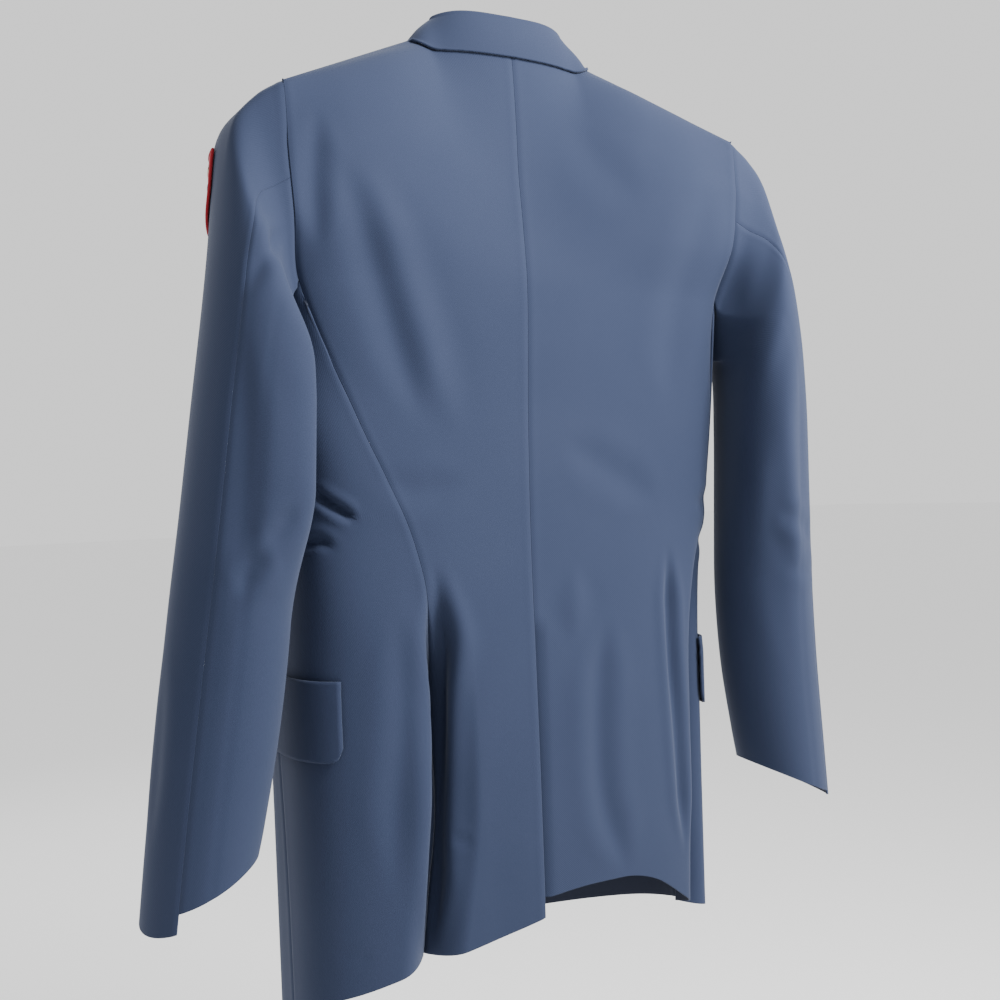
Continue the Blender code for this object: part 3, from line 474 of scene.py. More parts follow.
def bodyRuns():
    # rows close together at the hem, under the arm and at the shoulder seam
    hem = [0, 0.0008, 0.002, 0.004, 0.007]
    arm = [0.5270, 0.5310, 0.5345, 0.5370, 0.5386, 0.5394, 0.54]
    yoke = [0.5415, 0.5440, 0.5480, 0.5530, 0.5590, sleeve["foreRun"]]
    top = [0.7500, 0.7540, 0.7570, 0.7590, 0.76]
    count = int((arm[0] - hem[-1]) / cloth["spacing"])
    low = list(np.linspace(hem[-1], arm[0], count)[1:-1])
    beside, above = body["yokeRows"]
    high = list(np.linspace(sleeve["foreRun"], sleeve["hindRun"], beside)[1:])
    high += list(np.linspace(sleeve["hindRun"], top[0], above)[1:-1])
    return np.array(hem + low + arm), np.array(yoke + high + top)


skirtRuns, yokeRuns = bodyRuns()
allRuns = np.concatenate([skirtRuns, yokeRuns])


def bodyPanels(side):
    dense = np.linspace(0, 1, 181)
    back = through(*backForm(dense, side), allRuns)
    sides = through(*sideForm(dense, side), skirtRuns)
    front = through(*frontForm(dense, side), allRuns)
    skirt = len(skirtRuns)
    sides[:, 0] = back[:skirt, -1]
    sides[:, -1] = front[:skirt, 0]
    back = skirtFold(back, side, edgeDistance(back, -1))
    sides = skirtFold(sides, side, edgeDistance(sides, 0))
    sides[:, 0] = (sides[:, 0] + back[:skirt, -1]) / 2
    back[:skirt, -1] = sides[:, 0]
    if side < 0:
        inward = 1 - smooth(edgeDistance(front, -1), *body["underReach"])
        low = smooth(-front[:, :, 2], -body["underTop"][0], -body["underTop"][1])
        front[:, :, 1] += inward * low * body["underDepth"]
    count = body["columns"]
    panels = {
        "back": gradedRows(back, count["back"]),
        "side": gradedRows(sides, count["side"]),
        "front": gradedRows(front, count["front"]),
    }
    panels["sleeve"] = sleeveForm(panels, side)
    return panels


def sleeveRuns():
    start = [0, 0.0008, 0.002, 0.004, 0.0065, 0.010]
    end = [0.640, 0.645, 0.648, 0.6492, 0.65]
    middle = list(np.linspace(start[-1], end[0], int(0.63 / cloth["spacing"]))[1:-1])
    return np.array(start + middle + end)


def sleeveForm(panels, side):
    # rings from the armhole edge to the cuff. Columns run down the back, under the arm, up the front
    skirt = len(skirtRuns)
    down = panels["back"][skirt:, -1][::-1]
    under = panels["side"][-1]
    up = panels["front"][skirt:-1, 0]
    loop = np.concatenate([down, under, up])
    # places from 0 to 29 along the loop, as in the CAD: 9 down the back, 12 under the arm, 9 up the front
    cadRuns = (0.565, 0.59, 0.615, 0.64, 0.665, 0.69, 0.715, 0.74, 0.76)
    place = [8 - np.interp(yokeRuns[::-1], cadRuns, range(9))]
    place.append(9 + 11 * np.linspace(0, 1, len(under)))
    place.append(21 + np.interp(yokeRuns[:-1], cadRuns, range(9)))
    place = np.concatenate(place)
    centre = (loop.max(0) + loop.min(0)) / 2
    start = np.unwrap(np.arctan2(loop[:, 1] - centre[1], loop[:, 2] - centre[2]))
    even = np.interp(place, (0, 6, 21, 29), np.radians((0, sleeve["hindAngle"], sleeve["foreAngle"], 360)))
    runs = [0.0]
    rings = [loop]
    for row in sleeveRings.values():
        r = named(sleeveColumns, row)
        outer = np.array([r["outerX"], r["centreY"], r["outerZ"]])
        inner = np.array([r["innerX"], r["centreY"], r["innerZ"]])
        blend = smooth(r["run"], 0, sleeve["evenRun"])
        angle = start * (1 - blend) + even * blend
        circle = (outer + inner) / 2 + np.cos(angle)[:, None] * (outer - inner) / 2
        circle[:, 1] += np.sin(angle) * r["halfDepth"]
        spread = np.zeros_like(loop)
        spread[:, 0] = sleeve["headSpread"][0] * r["run"] * (1 + np.cos(start)) / 2
        spread[:, 2] = -sleeve["headSpread"][1] * r["run"]
        formed = smooth(r["run"], 0, sleeve["headRun"])
        circle = circle * formed + (loop + spread) * (1 - formed)
        circle[:, 2] -= np.sin(angle) * sleeve["cuffBackDrop"] * smooth(r["run"], *sleeve["cuffRuns"])
        circle[:, 2] -= sleeve["drop"][side] * smooth(r["run"], *sleeve["dropRuns"])
        runs.append(r["run"])
        rings.append(circle)
    run = sleeveRuns()
    grid = through(runs, rings, run)
    grid[:, :, 1] += (sleeve["swing"][side] * smooth(run, *sleeve["swingRuns"]))[:, None]
    grow = smooth(run, *sleeve["fullnessRuns"][:2]) * (1 - smooth(run, *sleeve["fullnessRuns"][2:]))
    blend = smooth(run, 0, sleeve["evenRun"])[:, None]
    angle = np.degrees(start * (1 - blend) + even * blend)
    middle, reach = sleeve["fullnessAngles"]
    amount = grow[:, None] * np.exp(-(((angle - middle) / reach) ** 2))
    grid[:, :, :2] += amount[:, :, None] * np.array(sleeve["fullness"][side])
    return np.concatenate([grid, grid[:, :1]], axis=1)


def sleeveNormals(grid):
    around = np.gradient(np.concatenate([grid[:, -3:-1], grid, grid[:, 1:3]], axis=1), axis=1)
    n = np.cross(np.gradient(grid, axis=0), around[:, 2:-2])
    return n / np.maximum(np.linalg.norm(n, axis=-1, keepdims=True), 1e-12)


def raisedCuff(grid, rise):
    # the under sleeve's cuff, shorter by rise beside the rear seam
    made = grid.copy()
    columns = grid.shape[1]
    step = np.linalg.norm(np.diff(grid, axis=0), axis=-1)
    along = np.concatenate([np.zeros((1, columns)), np.cumsum(step, axis=0)], axis=0)
    for j in range(columns):
        total = along[-1, j]
        start = sleeve["ventStart"] * total
        short = rise * (1 - smooth(j / (columns - 1), *sleeve["ventFade"]))
        bent = start + (along[:, j] - start) * (1 - short / (total - start))
        at = np.where(along[:, j] < start, along[:, j], bent)
        made[:, j] = np.stack([np.interp(at, along[:, j], grid[:, j, k]) for k in range(3)], -1)
    return made


def mirrored(grid):
    return grid * np.array([-1, 1, 1])


# Folds: a line of points in metres on the sleeves or the body, with the width and depth in the middle.
# A negative depth is a ridge. Each tapers to nothing over its taper at both ends.
foldColumns = "place width depth taper points"
foldShape = {"endWidth": 0.55, "bank": 0.30, "bankPlace": 1.9}  # as shares of a fold's width and depth
folds = {
    "bladeFoldLeft": ("body", 0.014, 0.0032, 0.07, (
        (0.179, 0.036, -0.121), (0.148, 0.027, -0.194), (0.125, 0.020, -0.264), (0.106, 0.018, -0.332),
    )),
    "bladeRidgeLeft": ("body", 0.016, -0.0028, 0.08, (
        (0.157, 0.036, -0.127), (0.128, 0.025, -0.201), (0.102, 0.020, -0.271), (0.070, 0.017, -0.345),
    )),
    "armholeHollowLeft": ("body", 0.009, 0.0028, 0.04, (
        (0.191, 0.033, -0.087), (0.196, 0.035, -0.146), (0.192, 0.026, -0.200),
    )),
    "capCreaseLeft": ("sleeve", 0.007, 0.0030, 0.03, (
        (0.219, 0.031, -0.183), (0.250, 0.070, -0.218), (0.263, 0.062, -0.245),
    )),
    "elbowCreaseLeft": ("sleeve", 0.008, 0.0032, 0.02, (
        (0.251, 0.060, -0.419), (0.262, 0.056, -0.440), (0.272, 0.051, -0.461),
    )),
    "elbowDrawLeft": ("sleeve", 0.008, 0.0022, 0.02, (
        (0.228, 0.066, -0.389), (0.242, 0.063, -0.411), (0.255, 0.059, -0.429),
    )),
    "sleeveHollowLeft": ("sleeve", 0.010, 0.0026, 0.08, (
        (0.263, 0.067, -0.260), (0.265, 0.067, -0.331), (0.268, 0.059, -0.402), (0.275, 0.047, -0.489),
    )),
    "waistPinch": ("body", 0.0038, 0.0075, 0.010, (
        (0.196, -0.004, -0.382), (0.182, 0.006, -0.395), (0.163, 0.012, -0.407),
    )),
    "waistPinchLow": ("body", 0.0042, 0.0050, 0.012, (
        (0.204, -0.016, -0.430), (0.191, -0.002, -0.423), (0.178, 0.004, -0.430),
    )),
    "skirtCreaseLeft": ("body", 0.0100, 0.0100, 0.070, (
        (0.098, 0.014, -0.443), (0.092, 0.006, -0.510), (0.091, -0.008, -0.562), (0.097, -0.008, -0.628),
        (0.102, -0.008, -0.685), (0.102, -0.011, -0.775),
    )),
    "skirtRidgeLeft": ("body", 0.008, -0.0022, 0.05, (
        (0.081, 0.013, -0.502), (0.081, 0.006, -0.562), (0.083, 0.000, -0.646), (0.087, 0.005, -0.728),
    )),
    "skirtSoftLeft": ("body", 0.012, 0.0030, 0.08, (
        (0.131, 0.013, -0.473), (0.127, 0.012, -0.555), (0.136, 0.010, -0.636), (0.141, 0.007, -0.717),
    )),
    "skirtCreaseRight": ("body", 0.0065, 0.0065, 0.060, (
        (-0.140, 0.012, -0.440), (-0.143, 0.010, -0.532), (-0.147, 0.004, -0.625),
        (-0.155, 0.002, -0.735),
    )),
    "skirtSoftRight": ("body", 0.012, 0.0036, 0.06, (
        (-0.068, 0.016, -0.500), (-0.058, 0.016, -0.576), (-0.060, 0.015, -0.665),
        (-0.085, 0.013, -0.740),
    )),
    "skirtRidgeRight": ("body", 0.012, -0.0020, 0.04, (
        (-0.037, 0.015, -0.451), (-0.034, 0.016, -0.530),
    )),
    "pullCreaseLeft": ("body", 0.0035, 0.0016, 0.010, (
        (0.084, 0.000, -0.673), (0.079, 0.007, -0.679), (0.066, 0.014, -0.681),
    )),
    "sleeveFoldRight": ("sleeve", 0.013, 0.0012, 0.10, (
        (-0.236, 0.063, -0.206), (-0.221, 0.063, -0.296), (-0.222, 0.054, -0.378),
        (-0.248, 0.036, -0.501), (-0.267, 0.031, -0.580),
    )),
    "sleeveRidgeRight": ("sleeve", 0.010, -0.0028, 0.08, (
        (-0.250, 0.070, -0.230), (-0.240, 0.068, -0.314), (-0.245, 0.062, -0.379),
        (-0.272, 0.040, -0.502),
    )),
    "waistSoftRight": ("body", 0.014, 0.0018, 0.04, (
        (-0.025, 0.017, -0.346), (-0.077, 0.016, -0.373), (-0.132, 0.014, -0.406),
    )),
    "capRollRight": ("sleeve", 0.012, -0.0014, 0.05, (
        (-0.228, 0.034, -0.104), (-0.229, 0.039, -0.181), (-0.225, 0.034, -0.245),
    )),
    "bladeFoldRight": ("body", 0.016, 0.0024, 0.06, (
        (-0.186, 0.036, -0.110), (-0.166, 0.030, -0.175), (-0.150, 0.024, -0.250),
        (-0.142, 0.019, -0.320),
    )),
    "yokeEaseRight": ("body", 0.018, 0.0014, 0.05, (
        (-0.045, 0.010, -0.064), (-0.080, 0.022, -0.108), (-0.118, 0.030, -0.140),
    )),
    "waistDrawLeft": ("body", 0.012, 0.0018, 0.04, (
        (0.150, 0.016, -0.372), (0.110, 0.018, -0.386), (0.060, 0.018, -0.378),
    )),
    "sideDrawRight": ("body", 0.009, 0.0026, 0.03, (
        (-0.204, -0.020, -0.392), (-0.192, 0.000, -0.404), (-0.170, 0.012, -0.402),
    )),
    "sideDrawLowRight": ("body", 0.008, 0.0020, 0.02, (
        (-0.206, -0.040, -0.432), (-0.200, -0.010, -0.442), (-0.186, 0.004, -0.438),
    )),
    "frontDrawLeft": ("body", 0.013, 0.0030, 0.05, (
        (0.198, -0.100, -0.335), (0.160, -0.150, -0.372), (0.100, -0.176, -0.402),
        (0.045, -0.182, -0.420),
    )),
    "frontDrawRight": ("body", 0.012, 0.0028, 0.05, (
        (-0.196, -0.096, -0.352), (-0.150, -0.152, -0.384), (-0.092, -0.178, -0.410),
        (-0.045, -0.182, -0.428),
    )),
    "frontHangLeft": ("body", 0.014, 0.0032, 0.10, (
        (0.118, -0.172, -0.500), (0.126, -0.168, -0.600), (0.134, -0.162, -0.700),
        (0.140, -0.158, -0.790),
    )),
    "frontHangRight": ("body", 0.013, 0.0030, 0.10, (
        (-0.104, -0.176, -0.520), (-0.112, -0.172, -0.610), (-0.120, -0.168, -0.700),
        (-0.124, -0.164, -0.780),
    )),
    "chestDropLeft": ("body", 0.014, 0.0024, 0.06, (
        (0.168, -0.122, -0.170), (0.158, -0.138, -0.230), (0.146, -0.152, -0.300),
    )),
    "chestDropRight": ("body", 0.013, 0.0022, 0.06, (
        (-0.170, -0.120, -0.180), (-0.158, -0.138, -0.245), (-0.150, -0.150, -0.310),
    )),
    "armpitFoldLeft": ("body", 0.009, 0.0030, 0.04, (
        (0.196, -0.098, -0.205), (0.203, -0.076, -0.262), (0.206, -0.058, -0.330),
    )),
    "armpitFoldRight": ("body", 0.009, 0.0028, 0.04, (
        (-0.196, -0.098, -0.210), (-0.204, -0.074, -0.272), (-0.206, -0.054, -0.345),
    )),
    "skirtSideRight": ("body", 0.012, 0.0030, 0.08, (
        (-0.205, -0.080, -0.470), (-0.206, -0.076, -0.580), (-0.204, -0.070, -0.690),
        (-0.202, -0.066, -0.780),
    )),
    "cuffDropLeft": ("sleeve", 0.011, 0.0024, 0.07, (
        (0.322, 0.004, -0.480), (0.330, 0.002, -0.560), (0.333, -0.002, -0.650),
    )),
    "innerDrawLeft": ("sleeve", 0.009, 0.0028, 0.03, (
        (0.240, -0.052, -0.398), (0.262, -0.062, -0.424), (0.288, -0.058, -0.448),
    )),
    "innerDrawLowLeft": ("sleeve", 0.010, 0.0034, 0.03, (
        (0.238, -0.050, -0.452), (0.262, -0.062, -0.472), (0.292, -0.058, -0.486),
    )),
    "innerDrawRight": ("sleeve", 0.009, 0.0030, 0.03, (
        (-0.240, -0.052, -0.380), (-0.266, -0.062, -0.412), (-0.292, -0.056, -0.440),
    )),
    "innerDrawLowRight": ("sleeve", 0.010, 0.0032, 0.03, (
        (-0.240, -0.054, -0.440), (-0.268, -0.062, -0.462), (-0.296, -0.056, -0.474),
    )),
    "elbowCreaseRight": ("sleeve", 0.008, 0.0030, 0.02, (
        (-0.236, 0.052, -0.408), (-0.262, 0.046, -0.428), (-0.288, 0.034, -0.440),
    )),
    "elbowDrawRight": ("sleeve", 0.008, 0.0022, 0.02, (
        (-0.250, 0.044, -0.462), (-0.272, 0.036, -0.474), (-0.298, 0.020, -0.482),
    )),
    "capFrontLeft": ("sleeve", 0.010, 0.0022, 0.04, (
        (0.226, -0.070, -0.170), (0.244, -0.058, -0.230), (0.262, -0.046, -0.290),
    )),
    "capFrontRight": ("sleeve", 0.010, 0.0022, 0.04, (
        (-0.226, -0.070, -0.176), (-0.246, -0.058, -0.238), (-0.266, -0.046, -0.300),
    )),
    "hemPressLeft": ("body", 0.003, 0.0012, 0.008, (
        (0.185, -0.012, -0.760), (0.173, -0.004, -0.760), (0.160, 0.002, -0.762),
    )),
}


def foldOffset(grid, node):
    # how far each point of a grid moves in, for the folds of the sleeves or of the body
    flat = grid.reshape(-1, 3)
    total = np.zeros(len(flat))
    for row in folds.values():
        f = named(foldColumns, row)
        if (f["place"] == "sleeve") != ("sleeve" in node):
            continue
        line = np.array(f["points"], float)
        line = through(np.arange(len(line)), line, np.linspace(0, len(line) - 1, 40))
        line = alongLine(line, np.linspace(0, 1, 40))
        length = np.linalg.norm(np.diff(line, axis=0), axis=1).sum()
        best = np.full(len(flat), 1e9)
        where = np.zeros(len(flat))
        for k in range(len(line) - 1):
            step = line[k + 1] - line[k]
            t = np.clip((flat - line[k]) @ step / (step @ step), 0, 1)
            gap = np.linalg.norm(flat - line[k] - t[:, None] * step, axis=1)
            nearer = gap < best
            best = np.where(nearer, gap, best)
            where = np.where(nearer, (k + t) / (len(line) - 1) * length, where)
        taper = smooth(where, 0, f["taper"]) * smooth(length - where, 0, f["taper"])
        width = f["width"] * (foldShape["endWidth"] + (1 - foldShape["endWidth"]) * taper)
        trough = np.exp(-((best / width) ** 2))
        bank = np.exp(-((best / width - foldShape["bankPlace"]) ** 2))
        total += f["depth"] * taper * (trough - foldShape["bank"] * bank)
    return total.reshape(grid.shape[:2])


def openVent(left, right):
    # the back skirts below the top of the vent, left over right, with the right one sunk under
    low = smooth(-left[:, :, 2], -vent["top"], -vent["full"])
    left[:, :, 1] += vent["flare"] * low * (1 - smooth(edgeDistance(left, 0), 0, vent["reach"][0]))
    gap = edgeDistance(right, 0)
    low = smooth(-right[:, :, 2], -vent["top"], -vent["full"])
    right[:, :, 2] += vent["step"] * low * (1 - smooth(gap, 0, vent["reach"][1]))
    opened = smooth(vent["top"] - right[:, :, 2], *vent["opens"])
    right[:, :, 1] -= vent["sink"] * opened * (1 - smooth(gap, 0, vent["sinkReach"]))
    return left, right


def ventUnderlap(leftBack, leftNormals, rightBack):
    # the right skirt's part that goes on under the left one, below the top of the vent
    below = np.flatnonzero(leftBack[:, 0, 2] < vent["top"])
    run = rowRun(leftBack)
    grid = []
    for i in below:
        row = leftBack[i] - leftNormals[i] * vent["sink"]
        at = np.linspace(vent["underlap"], vent["inset"], vent["columns"])
        line = np.stack([np.interp(at, run[i], row[:, k]) for k in range(3)], -1)
        line[:, 2] += rightBack[i, 0, 2] - leftBack[i, 0, 2]
        grid.append(line)
    return np.array(grid)


def shellPiece(name, grid, finish, flip=False, inside="lining", thickness=cloth["thickness"]):
    # a grid of outer points as one cloth piece, with its own UV map in metres along the cloth
    rows, columns = grid.shape[:2]
    shape = bmesh.new()
    bmesh.ops.create_grid(shape, x_segments=columns - 1, y_segments=rows - 1, size=1)
    shape.verts.ensure_lookup_table()
    for vertex, point in zip(shape.verts, grid.reshape(-1, 3)):
        vertex.co = point
    if flip:
        bmesh.ops.reverse_faces(shape, faces=list(shape.faces))
    flat = clothMap(grid).reshape(-1, 2)
    layer = shape.loops.layers.uv.new("clothMap")
    for face in shape.faces:
        face.smooth = True
        for corner in face.loops:
            corner[layer].uv = flat[corner.vert.index]
    mesh = bpy.data.meshes.new(name)
    shape.to_mesh(mesh)
    shape.free()
    mesh.materials.append(finishes[finish])
    mesh.materials.append(finishes[inside])
    piece = bpy.data.objects.new(name, mesh)
    bpy.context.scene.collection.objects.link(piece)
    shell = piece.modifiers.new("thickness", "SOLIDIFY")
    shell.thickness = thickness
    shell.offset = -1
    shell.material_offset = 1
    return piece


def clothMap(grid):
    middle = grid.shape[1] // 2
    across = rowRun(grid)
    across = across - across[:, [middle]]
    up = np.linalg.norm(np.diff(grid[:, middle], axis=0), axis=-1)
    rise = np.concatenate([[0], np.cumsum(up)])
    return np.stack([across, np.repeat(rise[:, None], grid.shape[1], axis=1)], -1)


def sewn(grid, normals, edges, offset):
    # sinks each named edge into its seam by a share of the depth, and moves the rest in by offset
    run = rowRun(grid)
    down = np.linalg.norm(np.diff(grid, axis=0), axis=-1)
    drop = np.concatenate([np.zeros((1, grid.shape[1])), np.cumsum(down, axis=0)], axis=0)
    groove = np.zeros(grid.shape[:2])
    for edge, share in edges.items():
        away = {
            "first": run,
            "last": run[:, [-1]] - run,
            "bottom": drop,
            "top": drop[[-1]] - drop,
        }[edge]
        groove = np.maximum(groove, share * np.exp(-((away / cloth["seamWidth"]) ** cloth["seamSharpness"])))
    swell = cloth["swell"] * np.sin(np.clip(-np.log(np.maximum(groove, 1e-6)) / 6, 0, 1) * pi)
    return grid - normals * (groove * cloth["seamDepth"] - swell + offset)[:, :, None]


def layForm(names, side):
    # a surface to lay pieces on, from fine panels of one side
    points = []
    directions = []
    faces = []
    for name in names:
        step = 1 if name == "sleeve" else 2
        grid = panelsOf[side][name][:, ::step]
        normals = normalsOf[side][name][:, ::step]
        base = sum(len(part) for part in points)
        rows, columns = grid.shape[:2]
        first = (np.arange(rows - 1)[:, None] * columns + np.arange(columns - 1)).ravel() + base
        faces.append(np.stack([first, first + 1, first + columns + 1, first + columns], -1))
        points.append(grid.reshape(-1, 3))
        directions.append(normals.reshape(-1, 3))
    points = np.concatenate(points)
    faces = np.concatenate(faces)
    tree = BVHTree.FromPolygons([Vector(p) for p in points], [tuple(int(k) for k in f) for f in faces])
    return {"points": points, "normals": np.concatenate(directions), "faces": faces, "tree": tree}


def nearestOn(form, target):
    # the nearest place on a form and the direction out of it
    place, _, face, _ = form["tree"].find_nearest(Vector(target))
    corners = form["faces"][face]
    place = np.array(place)
    weight = 1 / (np.linalg.norm(form["points"][corners] - place, axis=1) + cloth["cornerBlend"])
    normal = (form["normals"][corners] * weight[:, None]).sum(0)
    return place, normal / np.linalg.norm(normal)


def layOn(form, targets, lift):
    # the nearest places on a form, moved out by lift
    lifts = np.broadcast_to(lift, targets.shape[:-1]).reshape(-1)
    placed = []
    for target, up in zip(targets.reshape(-1, 3), lifts):
        place, normal = nearestOn(form, target)
        placed.append(place + normal * up)
    return np.array(placed).reshape(targets.shape)


def keepClear(form, row, lift):
    # a row of points with each one at least its lift above a form
    moved = row.copy()
    for k, target in enumerate(row):
        place, normal = nearestOn(form, target)
        short = lift[k] - (target - place) @ normal
        if short > 0:
            moved[k] = target + normal * short
    return moved


def collarForm(side, form):
    share = np.linspace(0, body["neckShare"], 40)
    neck = through(*backForm(share, side), [body["topRun"]])[0]
    edgeRuns = np.linspace(body["topRun"], collar["endRun"], 24)[1:]
    edge = through(*frontForm(np.array([0.5, 1.0]), side), edgeRuns)[:, 1]
    path = alongLine(np.concatenate([neck, edge]), np.linspace(0, 1, collar["points"]))
    share = np.linspace(0, 1, len(path))
    c = tableCurve(collarColumns, collarSections, share)
    out = np.cross(np.gradient(path, axis=0), (0, 0, 1))
    out[0] = (0, 1, 0)
    out = out / np.linalg.norm(out, axis=-1, keepdims=True)
    out = out * np.where((out * (path - np.array(collar["neckMiddle"]))).sum(-1) < 0, -1, 1)[:, None]
    up = np.array([0, 0, 1.0])
    radius = collar["fold"]
    drop, inset = collar["foot"]
    foot = path - up * drop - out * inset
    top = foot + up * (c["stand"][:, None] - radius) - out * c["lean"][:, None]
    middle = top + out * radius
    rows = [foot * (1 - w) + top * w for w in np.linspace(0, 1, collar["standRows"])]
    for turn in np.linspace(*collar["foldTurns"], collar["standRows"]):
        around = -cos(radians(turn)) * out + up * sin(radians(turn))
        rows.append(middle + around * radius)
    edge = layOn(form, path + out * c["fallOut"][:, None] - up * c["fallDrop"][:, None], collar["lift"])
    start = rows[-1]
    crossing = np.exp(-(((share - collar["crossing"][0]) / collar["crossing"][1]) ** 2))
    lift = collar["lift"] + collar["crossingLift"] * crossing
    control = (start + edge) / 2 + (out + up) * collar["roll"]
    for w in collar["fallShares"]:
        row = (1 - w) ** 2 * start + 2 * w * (1 - w) * control + w**2 * edge
        rows.append(keepClear(form, row, lift))
    grid = np.array(rows)[::-1]
    for _ in range(2):
        grid[1:-1, 1:-1] = (grid[1:-1, 1:-1] * 2 + grid[1:-1, :-2] + grid[1:-1, 2:]) / 4
    return grid


def lapelForm(side, form):
    front = panelsOf[side]["front"]
    first = lapelRows["break"][0]
    last = lapelRows["gorge"][0]
    at = np.linspace(first + lapel["start"], last, lapel["rows"])
    width = tableCurve(lapelColumns, lapelRows, at)["width"]
    line = through(allRuns, front[:, -1], at)
    beside = through(allRuns, front[:, lapel["besideColumn"]], at)
    away = beside - line
    away = away / np.linalg.norm(away, axis=-1, keepdims=True)
    share = np.linspace(1, 0, lapel["columns"])
    targets = line[:, None] + away[:, None] * width[:, None, None] * share[None, :, None]
    fromFold = np.minimum(width[:, None] * share[None, :] / lapel["rollReach"], 1)
    rolled = np.minimum(width / lapel["fullRollWidth"], 1)[:, None]
    lift = lapel["lift"] + lapel["roll"] * np.sin(fromFold * pi) * rolled
    return layOn(form, targets, lift)


def flapForm(side, form):
    start, end = np.radians(flap["angles"][side])
    across = np.linspace(0, 1, flap["columns"])
    places = ringRow("hip", start, end, across)
    length = np.concatenate([[0], np.cumsum(np.linalg.norm(np.diff(places, axis=0), axis=1))])
    fromEnd = np.minimum(length, length[-1] - length)
    corner = flap["corner"]
    roundOff = corner - np.sqrt(np.maximum(corner**2 - np.maximum(corner - fromEnd, 0) ** 2, 0))
    top = flap["topZ"][0] + (flap["topZ"][1] - flap["topZ"][0]) * across
    down = np.linspace(0, 1, flap["rows"])[::-1]
    targets = np.repeat(places[None], len(down), axis=0)
    for i, w in enumerate(down):
        targets[i, :, 2] = top - w * (flap["height"] - roundOff)
    bulge = np.sin(np.clip(down / flap["bulgeShare"], 0, 1) * pi / 2)[:, None] * flap["bulge"]
    return layOn(form, targets, flap["lift"] + bulge)


weaveLook = {
    "twillScale": 330,
    "twillBend": 0.6,
    "fibreScale": 900,
    "cloudScale": 7,
    "cloudShare": 0.45,
    "fibreShare": 0.35,
    "twillShare": 0.6,
    "roughness": (0.12, 0.78),  # how much it varies, and its least value
}
woolLook = {"sheenRoughness": 0.45, "sheenTint": (0.72, 0.80, 1.0, 1), "specular": 0.18, "relief": 0.8}
metalLook = {
    "grainScale": 1400,
    "wearScale": 220,
    "dark": (0.35, (0.36, 0.35, 0.33, 1)),
    "light": (0.65, (0.66, 0.66, 0.64, 1)),
    "roughness": (0.18, 0.24),
    "grain": 0.00004,
    "relief": 0.5,
}


def noise(tree, scale, detail):
    place = tree.nodes.new("ShaderNodeTexCoord")
    made = tree.nodes.new("ShaderNodeTexNoise")
    made.inputs["Scale"].default_value = scale
    made.inputs["Detail"].default_value = detail
    tree.links.new(place.outputs["Object"], made.inputs["Vector"])
    return made.outputs["Fac"]


def scaled(tree, source, factor, added):
    # source times factor plus added, which is a number or another output
    made = tree.nodes.new("ShaderNodeMath")
    made.operation = "MULTIPLY_ADD"
    made.inputs[1].default_value = factor
    tree.links.new(source, made.inputs[0])
    if isinstance(added, float):
        made.inputs[2].default_value = added
    else:
        tree.links.new(added, made.inputs[2])
    return made.outputs[0]


def newFinish(name):
    made = bpy.data.materials.new(name)
    made.use_nodes = True
    return made, made.node_tree, made.node_tree.nodes["Principled BSDF"]


def addRelief(tree, shader, height, distance, strength):
    relief = tree.nodes.new("ShaderNodeBump")
    relief.inputs["Distance"].default_value = distance
    relief.inputs["Strength"].default_value = strength
    tree.links.new(height, relief.inputs["Height"])
    tree.links.new(relief.outputs["Normal"], shader.inputs["Normal"])


def clothGroup():
    # twill, fibres and a cloudy tone, as one colour, height and roughness
    group = bpy.data.node_groups.new("woolWeave", "ShaderNodeTree")
    for name, way, kind in (
        ("Colour", "INPUT", "Color"),
        ("Shade", "INPUT", "Color"),
        ("Colour", "OUTPUT", "Color"),
        ("Height", "OUTPUT", "Float"),
        ("Roughness", "OUTPUT", "Float"),
    ):
        group.interface.new_socket(name, in_out=way, socket_type=f"NodeSocket{kind}")
    nodes = group.nodes
    links = group.links
    enter = nodes.new("NodeGroupInput")
    leave = nodes.new("NodeGroupOutput")
    uvs = nodes.new("ShaderNodeUVMap")
    uvs.uv_map = "clothMap"
    twill = nodes.new("ShaderNodeTexWave")
    twill.wave_type = "BANDS"
    twill.bands_direction = "DIAGONAL"
    twill.inputs["Scale"].default_value = weaveLook["twillScale"]
    twill.inputs["Distortion"].default_value = weaveLook["twillBend"]
    twill.inputs["Detail"].default_value = 1
    links.new(uvs.outputs["UV"], twill.inputs["Vector"])
    fibre = scaled(group, noise(group, weaveLook["fibreScale"], 3), weaveLook["fibreShare"], 0.0)
    cloud = noise(group, weaveLook["cloudScale"], 4)
    blend = nodes.new("ShaderNodeMix")
    blend.data_type = "RGBA"
    links.new(scaled(group, cloud, weaveLook["cloudShare"], fibre), blend.inputs["Factor"])
    links.new(enter.outputs["Colour"], blend.inputs["A"])
    links.new(enter.outputs["Shade"], blend.inputs["B"])
    links.new(blend.outputs["Result"], leave.inputs["Colour"])
    links.new(scaled(group, twill.outputs["Fac"], weaveLook["twillShare"], fibre), leave.inputs["Height"])
    links.new(scaled(group, cloud, *weaveLook["roughness"]), leave.inputs["Roughness"])
    return group


weave = clothGroup()


